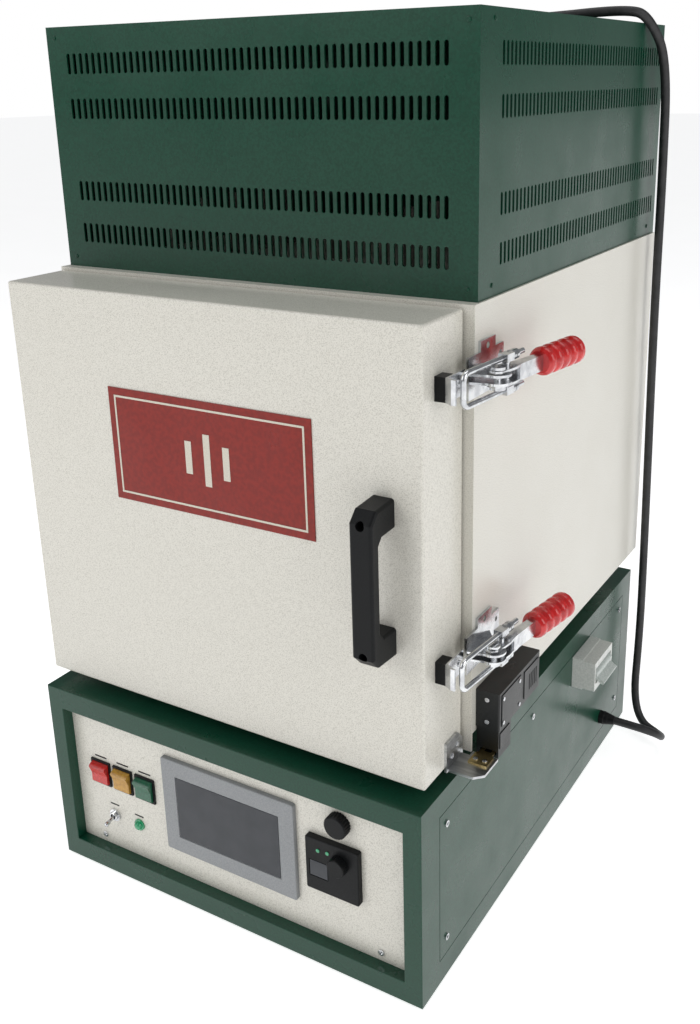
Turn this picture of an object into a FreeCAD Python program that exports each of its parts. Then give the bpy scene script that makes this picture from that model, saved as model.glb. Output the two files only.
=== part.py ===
"""Front-loading pottery kiln: control base, fired chamber, vented cover and latched door.

Millimetres, +Z up, the front toward -Y. The origin is the middle of the base footprint, on
the table. Every piece is one body bound to the sizes sheet and is written to parts/NAME.step.
"""
import math
import os
import re
import FreeCAD
import Part
import Sketcher

SIZES = {
    # control base
    "base_width": 550.0,
    "base_depth": 690.0,
    "base_height": 257.0,
    "base_sheet": 3.0,
    "side_sheet": 5.0,
    "foot_height": 4.0,
    "foot_radius": 18.0,
    "foot_inset": 45.0,
    "ring_depth": 15.0,
    "ring_side": 23.0,
    "ring_top": 29.0,
    "ring_bottom": 28.0,
    "panel_lap": 10.0,
    "panel_sheet": 3.0,
    # inset cover on the right side of the base
    "access_front": 42.0,
    "access_rear": 35.0,
    "access_low": 31.0,
    "access_high": 29.0,
    "rebate_depth": 2.0,
    "rebate_width": 12.0,
    "seam": 1.0,
    "screw_head_radius": 4.0,
    "screw_head_height": 1.6,
    # things on the panel
    "screen_width": 200.0,
    "screen_height": 134.0,
    "screen_proud": 6.0,
    "screen_case_depth": 32.0,
    "glass_width": 157.0,
    "glass_height": 89.0,
    "controller_side": 72.0,
    "controller_proud": 8.0,
    "controller_case_depth": 62.0,
    "controller_x": 154.0,
    "controller_rise": 6.5,
    "dial_radius": 12.0,
    "dial_proud": 10.0,
    "dial_shaft_radius": 3.0,
    "dial_x": 11.0,
    "dial_rise": 13.0,
    "bezel_width": 32.0,
    "bezel_height": 35.0,
    "bezel_proud": 2.5,
    "bezel_depth": 16.0,
    "rocker_width": 26.4,
    "rocker_radius": 14.7,
    "rocker_pin_radius": 2.0,
    "rocker_tilt": 10.0,
    "rocker_x": 208.5,
    "rocker_pitch": 37.5,
    "rocker_rise": 11.0,
    "toggle_x": 192.0,
    "toggle_drop": 49.5,
    "toggle_nut_radius": 8.5,
    "toggle_bush_radius": 6.0,
    "toggle_ball_radius": 4.0,
    "toggle_lever_length": 17.0,
    "toggle_tilt": 14.0,
    "lamp_x": 150.0,
    "lamp_radius": 8.0,
    "cap_x": 162.0,
    "cap_rise": 69.5,
    "cap_radius": 15.0,
    "cap_proud": 12.0,
    "cap_stub_radius": 6.0,
    # chamber body
    "rail_height": 40.0,
    "rail_width": 40.0,
    "rail_x": 200.0,
    "body_width": 562.0,
    "body_height": 485.5,
    "rear_setback": 2.0,
    "plate_setback": 107.0,
    "plate_sheet": 3.0,
    "plate_drop": 22.0,
    "casing_sheet": 3.0,
    "chamber_half_width": 170.0,
    "chamber_height": 280.0,
    "chamber_depth": 400.0,
    "lining_floor_height": 100.0,
    "mouth_margin": 5.0,
    "hearth_height": 12.0,
    "hearth_margin": 30.0,
    "element_count": 3.0,
    "element_x": 145.0,
    "element_pitch": 120.0,
    "element_leg_gap": 60.0,
    "element_hot_radius": 3.0,
    "element_shank_radius": 6.0,
    "element_bore_radius": 8.0,
    "element_drop": 20.0,
    "element_stick_up": 78.0,
    "collar_radius": 11.0,
    "collar_height": 5.0,
    "probe_radius": 6.0,
    "probe_reach": 80.0,
    "probe_head_radius": 14.0,
    "probe_head_height": 30.0,
    # vented cover
    "cover_height": 274.5,
    "cover_inset": 3.0,
    "cover_setback": 13.0,
    "cover_sheet": 2.0,
    "slot_height": 23.0,
    "slot_width": 5.0,
    "slot_pitch": 9.6,
    "slot_front_count": 52.0,
    "slot_side_count": 53.0,
    "slot_first_drop": 40.5,
    "slot_pair_gap": 49.5,
    "slot_pairs_gap": 143.0,
    # door
    "door_width": 548.0,
    "door_depth": 84.0,
    "door_height": 505.5,
    "door_shift": 5.0,
    "door_gap_below": 16.0,
    "door_setback": 20.0,
    "door_sheet": 2.5,
    "door_round": 3.0,
    "plug_clearance": 5.0,
    "plug_step": 15.0,
    "seal_width": 26.0,
    "seal_thickness": 2.6,
    "handle_x": 224.0,
    "handle_width": 26.0,
    "handle_height": 174.0,
    "handle_standoff": 45.0,
    "handle_grip": 15.0,
    "handle_foot": 32.0,
    "handle_rise": 155.0,
    "handle_pocket_radius": 5.0,
    # hinges on the left
    "hinge_offset": 14.0,
    "barrel_radius": 9.0,
    "hinge_pin_radius": 5.0,
    "hinge_length": 72.0,
    "hinge_leaf_reach": 48.0,
    "hinge_leaf_clear": 12.0,
    "hinge_leaf_outer": 5.5,
    "hinge_low_rise": 107.0,
    "hinge_high_rise": 407.0,
    "running_clearance": 0.05,
    "knuckle_gap": 0.3,
    # latches on the right
    "latch_low_rise": 132.0,
    "latch_high_rise": 439.0,
    "pivot_out": 25.0,
    "pivot_ahead_of_front": 1.0,
    "latch_pin_radius": 4.0,
    "ear_radius": 14.0,
    "ear_sheet": 2.5,
    "ear_half_gap": 3.0,
    "lever_sheet": 2.5,
    "lever_half_gap": 6.0,
    "lever_angle": 9.0,
    "lever_neck": 78.0,
    "grip_length": 74.0,
    "grip_radius": 15.5,
    "grip_ribs": 5.0,
    "trunnion_reach": 20.0,
    "bale_half_width": 17.0,
    "bale_rod_radius": 3.0,
    "bale_corner": 8.0,
    "bale_tail": 33.0,
    "hook_reach": 80.0,
    "hook_inset": 8.0,
    "hook_clearance": 0.5,
    "latch_plate_sheet": 3.0,
    "latch_plate_half_height": 22.0,
    "catch_half_height": 12.5,
    "catch_depth": 12.0,
    "catch_length": 38.0,
    "catch_sheet": 2.0,
    # door switch and its key
    "switch_width": 29.0,
    "switch_depth": 114.0,
    "switch_head_depth": 34.0,
    "switch_low_rise": 6.0,
    "switch_height": 47.0,
    "switch_head_height": 35.0,
    "switch_setback": 11.0,
    "bracket_sheet": 3.0,
    "bracket_reach": 43.0,
    "bracket_depth": 44.0,
    "bracket_height": 36.0,
    "key_width": 17.0,
    "key_thickness": 2.0,
    "key_reach": 16.0,
    # breaker on the right side of the base
    "breaker_length": 70.0,
    "breaker_height": 46.0,
    "breaker_rise": 179.0,
    "breaker_back": 442.0,
    "breaker_step": 15.0,
    "breaker_nose": 33.0,
    "breaker_case_depth": 45.0,
    "breaker_barrel_radius": 8.0,
    "breaker_lever": 20.0,
    "breaker_tilt": 35.0,
    # gland, cord and plug
    "gland_radius": 10.5,
    "gland_proud": 15.0,
    "gland_back": 575.0,
    "gland_rise": 56.0,
    "cord_radius": 6.0,
    "coil_radius": 66.0,
    "coil_turns": 4.0,
    "coil_x": 150.0,
    "coil_back": 600.0,
    "plug_width": 44.0,
    "plug_length": 62.0,
    "plug_height": 24.0,
}

# Places that follow from the sizes, in the order they are worked out.
LAYOUT = {
    "front": "-base_depth / 2",
    "rear": "base_depth / 2",
    "base_half": "base_width / 2",
    "base_low": "foot_height",
    "base_top": "foot_height + base_height",
    "ring_back": "front + ring_depth",
    "panel_back": "ring_back + panel_sheet",
    "panel_low": "base_low + ring_bottom",
    "panel_high": "base_top - ring_top",
    "panel_mid": "(panel_low + panel_high) / 2",
    "panel_half": "base_half - ring_side",
    "side_inner": "base_half - side_sheet",
    "side_rear": "rear - base_sheet",
    "body_half": "body_width / 2",
    "body_low": "base_top + rail_height",
    "body_top": "body_low + body_height",
    "plate_front": "front + plate_setback",
    "casing_front": "plate_front + plate_sheet",
    "body_rear": "rear - rear_setback",
    "lining_half": "body_half - casing_sheet",
    "lining_low": "body_low + casing_sheet",
    "lining_high": "body_top - casing_sheet",
    "lining_rear": "body_rear - casing_sheet",
    "chamber_low": "lining_low + lining_floor_height",
    "chamber_high": "chamber_low + chamber_height",
    "chamber_rear": "casing_front + chamber_depth",
    "chamber_mid": "casing_front + chamber_depth / 2",
    "cover_half": "body_half - cover_inset",
    "cover_front": "plate_front + cover_setback",
    "cover_top": "body_top + cover_height",
    "door_front": "front + door_setback",
    "door_rear": "door_front + door_depth",
    "door_left": "-door_width / 2 - door_shift",
    "door_right": "door_width / 2 - door_shift",
    "door_low": "base_top + door_gap_below",
    "door_high": "door_low + door_height",
    "hinge_x": "door_left - hinge_offset",
    "pivot_x": "body_half + pivot_out",
    "pivot_y": "plate_front + pivot_ahead_of_front",
    "hook_x": "pivot_x - hook_inset",
    "hook_y": "pivot_y + trunnion_reach - hook_reach",
    "bale_tilt": "atan(hook_inset / hook_reach)",
    "trunnion_x": "-trunnion_reach * sin(lever_angle)",
    "trunnion_y": "trunnion_reach * cos(lever_angle)",
    "switch_front": "plate_front + switch_setback",
    "switch_low": "body_low + switch_low_rise",
    "bracket_low": "door_low - bracket_sheet",
    "breaker_y": "front + breaker_back",
    "breaker_z": "base_low + breaker_rise",
    "gland_y": "front + gland_back",
    "gland_z": "base_low + gland_rise",
    "gland_end": "base_half + gland_proud",
    "element_low": "chamber_low + element_drop",
}

UP = FreeCAD.Vector(0, 0, 1)
# Sketch plane and the way its pads grow, for each direction a piece is padded along.
PLANES = {"x": ("YZ_Plane", 1), "y": ("XZ_Plane", -1), "z": ("XY_Plane", 1)}
LARGEST_CUT_ERROR = 1e-6

doc = FreeCAD.newDocument("PotteryKiln")
pieces = []
known_names = {}


def fill_sheet():
    """Write every size into the sheet, one alias each."""
    sheet = doc.addObject("Spreadsheet::Sheet", "Sizes")
    for row, (name, value) in enumerate(SIZES.items(), start=1):
        sheet.set("A%d" % row, name)
        sheet.set("B%d" % row, str(value))
        sheet.setAlias("B%d" % row, name)
        known_names[name] = "Sizes." + name
    doc.recompute()
    return sheet


def bound(text):
    """The expression with each size and place named in full."""
    return re.sub(r"[a-z][a-z_0-9]*", lambda found: known_names.get(found.group(0), found.group(0)),
                  str(text))


def number(text):
    """The expression's value now."""
    return float(layout.evalExpression(bound(text)))


def vector(x, y, z=0):
    """A point whose coordinates are given as expressions."""
    return FreeCAD.Vector(number(x), number(y), number(z))


def fill_layout():
    """Add the worked-out places, each bound to the sizes."""
    for name, expression in LAYOUT.items():
        layout.addProperty("App::PropertyFloat", name, "Places")
        layout.setExpression(name, bound(expression))
        layout.recompute()
        known_names[name] = "Layout." + name
    doc.recompute()


sheet = fill_sheet()
layout = doc.addObject("App::FeaturePython", "Layout")
fill_layout()


def place_point(sketch, shape, vertex, x, y):
    """Bind one vertex of a sketch shape to two expressions."""
    for kind, expression in (("DistanceX", x), ("DistanceY", y)):
        made = sketch.addConstraint(
            Sketcher.Constraint(kind, -1, 1, shape, vertex, number(expression)))
        sketch.setExpression("Constraints[%d]" % made, bound(expression))


def set_radius(sketch, shape, radius):
    """Bind the radius of a sketch circle or arc."""
    made = sketch.addConstraint(Sketcher.Constraint("Radius", shape, number(radius)))
    sketch.setExpression("Constraints[%d]" % made, bound(radius))


def polygon(*corners):
    """A closed outline of straight lines."""
    def draw(sketch):
        ends = [vector(x, y) for x, y in corners]
        first = sketch.GeometryCount
        for start, end in zip(ends, ends[1:] + ends[:1]):
            sketch.addGeometry(Part.LineSegment(start, end), False)
        for index, (x, y) in enumerate(corners):
            following = first + (index + 1) % len(corners)
            sketch.addConstraint(Sketcher.Constraint("Coincident", first + index, 2, following, 1))
            place_point(sketch, first + index, 1, x, y)
    return draw


def rectangle(left, low, right, high):
    """A closed outline from two opposite corners."""
    return polygon((left, low), (right, low), (right, high), (left, high))


def circle(x, y, radius):
    """A full circle."""
    def draw(sketch):
        ring = Part.Circle(vector(x, y), UP, number(radius))
        shape = sketch.addGeometry(ring, False)
        place_point(sketch, shape, 3, x, y)
        set_radius(sketch, shape, radius)
    return draw


def slot(x, y, width, height):
    """An upright slot with round ends."""
    def draw(sketch):
        radius = "(%s) / 2" % width
        top = "(%s) + ((%s) - (%s)) / 2" % (y, height, width)
        low = "(%s) - ((%s) - (%s)) / 2" % (y, height, width)
        reach = FreeCAD.Vector(number(radius), 0, 0)
        upper = Part.Circle(vector(x, top), UP, number(radius))
        lower = Part.Circle(vector(x, low), UP, number(radius))
        chain = [
            Part.ArcOfCircle(upper, 0, math.pi),
            Part.LineSegment(vector(x, top) - reach, vector(x, low) - reach),
            Part.ArcOfCircle(lower, math.pi, 2 * math.pi),
            Part.LineSegment(vector(x, low) + reach, vector(x, top) + reach),
        ]
        first = sketch.GeometryCount
        for shape in chain:
            sketch.addGeometry(shape, False)
        for index in range(len(chain)):
            following = first + (index + 1) % len(chain)
            sketch.addConstraint(Sketcher.Constraint("Tangent", first + index, 2, following, 1))
        for arc, level in ((first, top), (first + 2, low)):
            place_point(sketch, arc, 3, x, level)
            set_radius(sketch, arc, radius)
    return draw


class Piece:
    """One sub-part: a placed body whose sketches and features are bound to the sizes."""

    def __init__(self, label, x="0", y="0", z="0", turn_axis=(0, 0, 1), turn=None):
        self.label = label
        self.body = doc.addObject("PartDesign::Body", label)
        self.body.Label = label
        self.body.AllowCompound = True
        self.body.Placement = FreeCAD.Placement(
            FreeCAD.Vector(), FreeCAD.Rotation(FreeCAD.Vector(*turn_axis), 1))
        self.body.setExpression("Placement.Rotation.Angle", bound(turn or "0"))
        for axis, expression in zip("xyz", (x, y, z)):
            self.body.setExpression("Placement.Base." + axis, bound(expression))
        pieces.append(self)

    def origin(self, role):
        """One of the body's own origin planes or axes."""
        return next(item for item in self.body.Origin.OriginFeatures if item.Role == role)

    def sketch(self, axis, outlines, at=("0", "0", "0")):
        """A sketch facing one axis, its own origin at a point of the body."""
        role, sign = PLANES[axis]
        made = self.body.newObject("Sketcher::SketchObject", self.label + "_outline")
        made.AttachmentSupport = [(self.origin(role), "")]
        made.MapMode = "FlatFace"
        across, along, out = {"x": (1, 2, 0), "y": (0, 2, 1), "z": (0, 1, 2)}[axis]
        made.setExpression("AttachmentOffset.Base.x", bound(at[across]))
        made.setExpression("AttachmentOffset.Base.y", bound(at[along]))
        made.setExpression("AttachmentOffset.Base.z", bound("%d * (%s)" % (sign, at[out])))
        for draw in outlines:
            draw(made)
        return made

    def level(self, axis, value):
        """A point of the body at one level along an axis."""
        return tuple(value if axis == name else "0" for name in "xyz")

    def pad(self, axis, low, high, *outlines):
        """Fill the outlines from one level to another along an axis."""
        start = high if axis == "y" else low
        feature = self.body.newObject("PartDesign::Pad", self.label + "_pad")
        feature.Profile = self.sketch(axis, outlines, self.level(axis, start))
        feature.setExpression("Length", bound("(%s) - (%s)" % (high, low)))
        self.body.Tip = feature
        doc.recompute()
        return feature

    def cut(self, axis, low, high, *outlines):
        """Remove the outlines from one level to another along an axis."""
        before = self.body.Shape.Volume
        start = low if axis == "y" else high
        feature = self.body.newObject("PartDesign::Pocket", self.label + "_cut")
        feature.Profile = self.sketch(axis, outlines, self.level(axis, start))
        feature.setExpression("Length", bound("(%s) - (%s)" % (high, low)))
        self.body.Tip = feature
        doc.recompute()
        if self.body.Shape.Volume > before - LARGEST_CUT_ERROR:
            raise RuntimeError("%s: a cut removed nothing" % self.label)
        return feature

    def spin(self, axis, *outlines):
        """Revolve an outline about one of the body's own axes.

        About y and z the outline is (radius, along); about x it is (along, radius).
        """
        facing = {"x": "z", "y": "z", "z": "y"}[axis]
        feature = self.body.newObject("PartDesign::Revolution", self.label + "_turning")
        feature.Profile = self.sketch(facing, outlines)
        feature.ReferenceAxis = (feature.Profile[0], ["H_Axis" if axis == "x" else "V_Axis"])
        self.body.Tip = feature
        doc.recompute()
        return feature

    def repeat(self, feature, axis, extent, count):
        """Repeat a feature in a row whose first and last are extent apart."""
        row = self.body.newObject("PartDesign::LinearPattern", self.label + "_row")
        row.Originals = [feature]
        row.Direction = (self.origin(axis.upper() + "_Axis"), [""])
        row.setExpression("Length", bound(extent))
        row.setExpression("Occurrences", bound(count))
        self.body.Tip = row
        doc.recompute()
        return row

    def ring(self, feature, axis, count):
        """Repeat a feature round an axis of the body."""
        around = self.body.newObject("PartDesign::PolarPattern", self.label + "_ring")
        around.Originals = [feature]
        around.Axis = (self.origin(axis.upper() + "_Axis"), [""])
        around.Angle = 360
        around.setExpression("Occurrences", bound(count))
        self.body.Tip = around
        doc.recompute()
        return around

    def round_edges(self, radius, wanted):
        """Round the edges whose middle point the test accepts, in the body's own place."""
        base = self.body.Tip
        names = []
        for index, edge in enumerate(base.Shape.Edges, start=1):
            middle = edge.valueAt((edge.FirstParameter + edge.LastParameter) / 2)
            if wanted(middle):
                names.append("Edge%d" % index)
        feature = self.body.newObject("PartDesign::Fillet", self.label + "_round")
        feature.Base = (base, names)
        feature.setExpression("Radius", bound(radius))
        self.body.Tip = feature
        doc.recompute()
        return feature


def block(label, left, right, front, rear, low, high):
    """A plain box between six levels, placed at its lowest corner."""
    made = Piece(label, left, front, low)
    made.pad("z", "0", "(%s) - (%s)" % (high, low),
             rectangle("0", "0", "(%s) - (%s)" % (right, left), "(%s) - (%s)" % (rear, front)))
    return made


def build_base():
    """The control base: surround, tray, deck, sides, side cover, feet and screws."""
    surround = Piece("base_front_frame", y="front", z="base_low")
    surround.pad("y", "0", "ring_depth",
                 rectangle("-base_half", "0", "base_half", "base_height"),
                 rectangle("-panel_half", "ring_bottom", "panel_half", "base_height - ring_top"))
    surround.round_edges("1", lambda middle: abs(middle.y) < 0.01)

    tray = Piece("base_tray", y="ring_back", z="base_low")
    tray.pad("x", "-side_inner", "side_inner",
             polygon(("0", "0"), ("rear - ring_back", "0"), ("rear - ring_back", "base_height"),
                     ("side_rear - ring_back", "base_height"), ("side_rear - ring_back", "base_sheet"),
                     ("0", "base_sheet")))
    louvre = tray.cut("y", "side_rear - ring_back", "rear - ring_back",
                      slot("-side_inner + 80", "base_height / 2", "6", "90"))
    tray.repeat(louvre, "x", "side_inner * 2 - 160", "20")

    block("base_deck", "-side_inner", "side_inner", "ring_back", "side_rear",
          "base_top - base_sheet", "base_top")
    block("base_side_left", "-base_half", "-side_inner", "ring_back", "rear",
          "base_low", "base_top")

    side = Piece("base_side_right", x="side_inner", z="base_low")
    side.pad("x", "0", "side_sheet", rectangle("ring_back", "0", "rear", "base_height"))
    opening = ("front + access_front", "access_low", "rear - access_rear",
               "base_height - access_high")
    side.cut("x", "side_sheet - rebate_depth", "side_sheet", rectangle(*opening))
    side.cut("x", "0", "side_sheet",
             rectangle("%s + rebate_width" % opening[0], "%s + rebate_width" % opening[1],
                       "%s - rebate_width" % opening[2], "%s - rebate_width" % opening[3]))
    side.cut("x", "0", "side_sheet",
             rectangle("breaker_y - seam", "%s - rebate_width - seam" % opening[3],
                       "breaker_y + breaker_length + seam",
                       "breaker_rise + breaker_height + seam"))

    cover = Piece("side_cover_right", x="base_half - rebate_depth", z="base_low")
    cover.pad("x", "0", "rebate_depth",
              rectangle("%s + seam" % opening[0], "%s + seam" % opening[1],
                        "%s - seam" % opening[2], "%s - seam" % opening[3]))
    cover.cut("x", "0", "rebate_depth",
              rectangle("breaker_y", "breaker_rise", "breaker_y + breaker_length",
                        "breaker_rise + breaker_height"),
              circle("gland_y", "gland_rise", "gland_radius - 2.5"))

    feet = Piece("foot_pads")
    corners = [(x, y) for x in ("-base_half + foot_inset", "base_half - foot_inset")
               for y in ("front + foot_inset", "rear - foot_inset")]
    middle = [("0", "0")]
    feet.pad("z", "0", "foot_height", *[circle(x, y, "foot_radius") for x, y in corners + middle])
    build_screws()


def build_screws():
    """Socket screw heads on the side cover and on the panel."""
    screws = Piece("casing_screws", z="base_low")
    low = "access_low + rebate_width * 2"
    high = "base_height - access_high - rebate_width * 1.5"
    near = "front + access_front + rebate_width * 1.4"
    far = "rear - access_rear - rebate_width * 1.4"
    spots = [(near, low), (near, high), (far, low), (far, high), ("front + 301", high)]
    screws.pad("x", "base_half", "base_half + screw_head_height",
               *[circle(y, z, "screw_head_radius") for y, z in spots])
    screws.cut("x", "base_half + screw_head_height / 3", "base_half + screw_head_height",
               *[circle(y, z, "screw_head_radius / 2") for y, z in spots])
    pair = [(x, "ring_bottom + rebate_width") for x in ("-214", "214")]
    screws.pad("y", "ring_back - screw_head_height", "ring_back",
               *[circle(x, z, "screw_head_radius") for x, z in pair])
    screws.cut("y", "ring_back - screw_head_height", "ring_back - screw_head_height / 3",
               *[circle(x, z, "screw_head_radius / 2") for x, z in pair])


def build_panel():
    """The recessed control panel with its cutouts, and everything that it carries."""
    panel = Piece("control_panel", y="ring_back", z="panel_mid")
    panel.pad("y", "0", "panel_sheet",
              rectangle("-panel_half - panel_lap", "panel_low - panel_mid - panel_lap",
                        "panel_half + panel_lap", "panel_high - panel_mid + panel_lap"))
    panel.cut("y", "0", "panel_sheet",
              rectangle("-screen_width / 2 + 6", "-screen_height / 2 + 14",
                        "screen_width / 2 - 6", "screen_height / 2"),
              rectangle("controller_x - 33.5", "controller_rise - 33.5",
                        "controller_x + 33.5", "controller_rise + 33.5"),
              circle("-toggle_x", "-toggle_drop", "toggle_bush_radius + 0.2"),
              circle("-lamp_x", "-toggle_drop", "lamp_radius - 1.8"),
              circle("cap_x", "cap_rise", "cap_stub_radius + running_clearance"))
    hole = panel.cut("y", "0", "panel_sheet",
                     rectangle("-rocker_x - bezel_width / 2 + 1", "rocker_rise - bezel_height / 2 + 1",
                               "-rocker_x + bezel_width / 2 - 1", "rocker_rise + bezel_height / 2 - 1"))
    panel.repeat(hole, "x", "rocker_pitch * 2", "3")

    screen = Piece("touch_screen", "1.5", "ring_back", "panel_mid + 7")
    screen.pad("y", "-screen_proud", "0",
               rectangle("-screen_width / 2", "-screen_height / 2",
                         "screen_width / 2", "screen_height / 2"))
    screen.round_edges("3", lambda middle: abs(middle.y + number("screen_proud / 2")) < 0.01)
    screen.round_edges("1.5", lambda middle: abs(middle.y + number("screen_proud")) < 0.01)
    screen.pad("y", "0", "screen_case_depth",
               rectangle("-screen_width / 2 + 9", "-screen_height / 2 + 9",
                         "screen_width / 2 - 9", "screen_height / 2 - 9"))
    screen.cut("y", "-screen_proud", "-screen_proud + 0.8",
               rectangle("-glass_width / 2", "-glass_height / 2",
                         "glass_width / 2", "glass_height / 2"))

    controller = Piece("controller_housing", "controller_x", "ring_back",
                       "panel_mid + controller_rise")
    half = "controller_side / 2"
    controller.pad("y", "-controller_proud", "0",
                   rectangle("-" + half, "-" + half, half, half))
    controller.round_edges("2.5", lambda middle: abs(middle.y + number("controller_proud / 2")) < 0.01)
    controller.round_edges("1.5", lambda middle: abs(middle.y + number("controller_proud")) < 0.01)
    controller.pad("y", "0", "controller_case_depth",
                   rectangle("-%s + 3" % half, "-%s + 3" % half, "%s - 3" % half, "%s - 3" % half))
    controller.cut("y", "-controller_proud", "-controller_proud + 1",
                   rectangle("-%s + 5" % half, "-17", "-%s + 5 + 26" % half, "6"))
    controller.cut("y", "-controller_proud", "0",
                   circle("dial_x", "dial_rise", "dial_shaft_radius + running_clearance"))

    dial = Piece("controller_dial", "controller_x + dial_x", "ring_back - controller_proud",
                 "panel_mid + controller_rise + dial_rise")
    dial.spin("y", polygon(("0", "-dial_proud"), ("dial_radius * 0.86", "-dial_proud"),
                           ("dial_radius * 0.94", "-dial_proud + 1"), ("dial_radius", "-0.5"),
                           ("dial_shaft_radius", "-0.5"), ("dial_shaft_radius", "controller_proud - 1"),
                           ("0", "controller_proud - 1")))
    flute = dial.cut("y", "-dial_proud", "-2", circle("dial_radius * 1.04", "0", "1.1"))
    dial.ring(flute, "y", "18")
    build_rockers()
    build_small_controls()


def build_rockers():
    """Three bezels and the rocker that tilts in each on its own pins."""
    bezels = Piece("switch_bezels", "-rocker_x", "ring_back", "panel_mid + rocker_rise")
    shell = bezels.pad("y", "-bezel_proud", "0",
                       rectangle("-bezel_width / 2", "-bezel_height / 2",
                                 "bezel_width / 2", "bezel_height / 2"))
    barrel = bezels.pad("y", "0", "bezel_depth",
                        rectangle("-bezel_width / 2 + 1.2", "-bezel_height / 2 + 1.2",
                                  "bezel_width / 2 - 1.2", "bezel_height / 2 - 1.2"))
    well = bezels.cut("y", "-bezel_proud", "bezel_depth - 2",
                      rectangle("-rocker_width / 2 - 0.3", "-rocker_radius - 0.3",
                                "rocker_width / 2 + 0.3", "rocker_radius + 0.3"))
    pin_hole = bezels.cut("x", "-rocker_width / 2 - 1.5", "rocker_width / 2 + 1.5",
                          circle("0", "0", "rocker_pin_radius + running_clearance"))
    row = bezels.repeat(shell, "x", "rocker_pitch * 2", "3")
    row.Originals = [shell, barrel, well, pin_hole]
    doc.recompute()

    for label, index in (("red_rocker", 0), ("amber_rocker", 1), ("green_rocker", 2)):
        rocker = Piece(label, "-rocker_x + rocker_pitch * %d" % index, "ring_back",
                       "panel_mid + rocker_rise", turn_axis=(1, 0, 0), turn="rocker_tilt")
        rocker.pad("x", "-rocker_width / 2", "rocker_width / 2", circle("0", "0", "rocker_radius"))
        rocker.cut("x", "-rocker_width / 2", "rocker_width / 2",
                   polygon(("-6", "0"), ("-10", "20"), ("-20", "20"), ("-20", "-20"), ("-10", "-20")),
                   rectangle("4", "-20", "20", "20"))
        rocker.pad("x", "-rocker_width / 2 - 1.2", "rocker_width / 2 + 1.2",
                   circle("0", "0", "rocker_pin_radius"))


def build_small_controls():
    """Toggle switch, lamp and round port cap."""
    bush = Piece("toggle_bush", "-toggle_x", "ring_back", "panel_mid - toggle_drop")
    bush.spin("y", polygon(("0", "-6"), ("toggle_bush_radius - 0.6", "-6"), ("toggle_bush_radius", "-5.4"),
                           ("toggle_bush_radius", "-2.5"), ("toggle_nut_radius", "-2.5"),
                           ("toggle_nut_radius", "0"), ("toggle_bush_radius", "0"),
                           ("toggle_bush_radius", "12"), ("0", "12")))
    bush.pad("y", "5", "26", rectangle("-7", "-11", "7", "11"))
    bush.cut("y", "-6", "4", circle("0", "0", "toggle_ball_radius + running_clearance"))

    lever = Piece("toggle_lever", "-toggle_x", "ring_back - 2", "panel_mid - toggle_drop",
                  turn_axis=(1, 0, 0), turn="toggle_tilt")
    lever.pad("x", "-0.9", "0.9", circle("0", "0", "toggle_ball_radius - 0.1"))
    lever.pad("y", "-toggle_lever_length", "0", circle("0", "0", "2.1"))
    lever.spin("y", polygon(("0", "-toggle_lever_length - 2"), ("2.2", "-toggle_lever_length - 1.4"),
                            ("3", "-toggle_lever_length"), ("3", "-toggle_lever_length + 3"),
                            ("2.1", "-toggle_lever_length + 7"), ("0", "-toggle_lever_length + 7")))

    lamp = Piece("power_lamp", "-lamp_x", "ring_back", "panel_mid - toggle_drop")
    lamp.spin("y", polygon(("0", "-7.5"), ("3", "-7"), ("5", "-5.6"), ("6", "-3.4"), ("6", "-2.6"),
                           ("lamp_radius - 0.5", "-2.6"), ("lamp_radius", "-2"), ("lamp_radius", "0"),
                           ("lamp_radius - 2", "0"), ("lamp_radius - 2", "24"), ("0", "24")))

    cap = Piece("port_cap", "cap_x", "ring_back", "panel_mid + cap_rise")
    cap.spin("y", polygon(("0", "-cap_proud"), ("cap_radius - 2", "-cap_proud"),
                          ("cap_radius", "-cap_proud + 2"), ("cap_radius", "-0.3"),
                          ("cap_stub_radius", "-0.3"), ("cap_stub_radius", "9"), ("0", "9")))
    flute = cap.cut("y", "-cap_proud", "-0.3", circle("cap_radius + 0.5", "0", "1.4"))
    cap.ring(flute, "y", "24")


def build_breaker():
    """Ganged breaker through the side cover; its toggles turn in a groove of the nose."""
    middle_z = "breaker_z + breaker_height / 2"
    body = Piece("breaker_body", "base_half", "breaker_y", middle_z)
    half = "breaker_height / 2"
    body.pad("x", "-breaker_case_depth", "breaker_step",
             rectangle("0", "-" + half, "breaker_length", half))
    body.pad("x", "0", "breaker_nose",
             rectangle("0", "-%s + 1.5" % half, "breaker_length", "%s - 1.5" % half))
    axis_x = "breaker_nose - 6"
    recess = "(breaker_barrel_radius + 4)"
    body.cut("x", "breaker_nose - 4.5", "breaker_nose",
             rectangle("4", "-" + recess, "breaker_length - 4", recess))
    body.cut("y", "4", "breaker_length - 4",
             circle(axis_x, "0", "breaker_barrel_radius + running_clearance"))
    seam = body.cut("x", "breaker_nose - 1", "breaker_nose",
                    rectangle("breaker_length / 4 - 0.4", "-%s" % half, "breaker_length / 4 + 0.4", "-" + recess),
                    rectangle("breaker_length / 4 - 0.4", recess, "breaker_length / 4 + 0.4", half))
    body.repeat(seam, "y", "breaker_length / 2", "3")

    toggles = Piece("breaker_toggles", "base_half + %s" % axis_x, "breaker_y", middle_z,
                    turn_axis=(0, 1, 0), turn="breaker_tilt")
    toggles.pad("y", "4.3", "breaker_length - 4.3", circle("0", "0", "breaker_barrel_radius"))
    toggles.pad("y", "8", "breaker_length - 8",
                polygon(("0", "-2.4"), ("breaker_lever - 1", "-2.1"), ("breaker_lever", "-1"),
                        ("breaker_lever", "1"), ("breaker_lever - 1", "2.1"), ("0", "2.4")))


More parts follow.
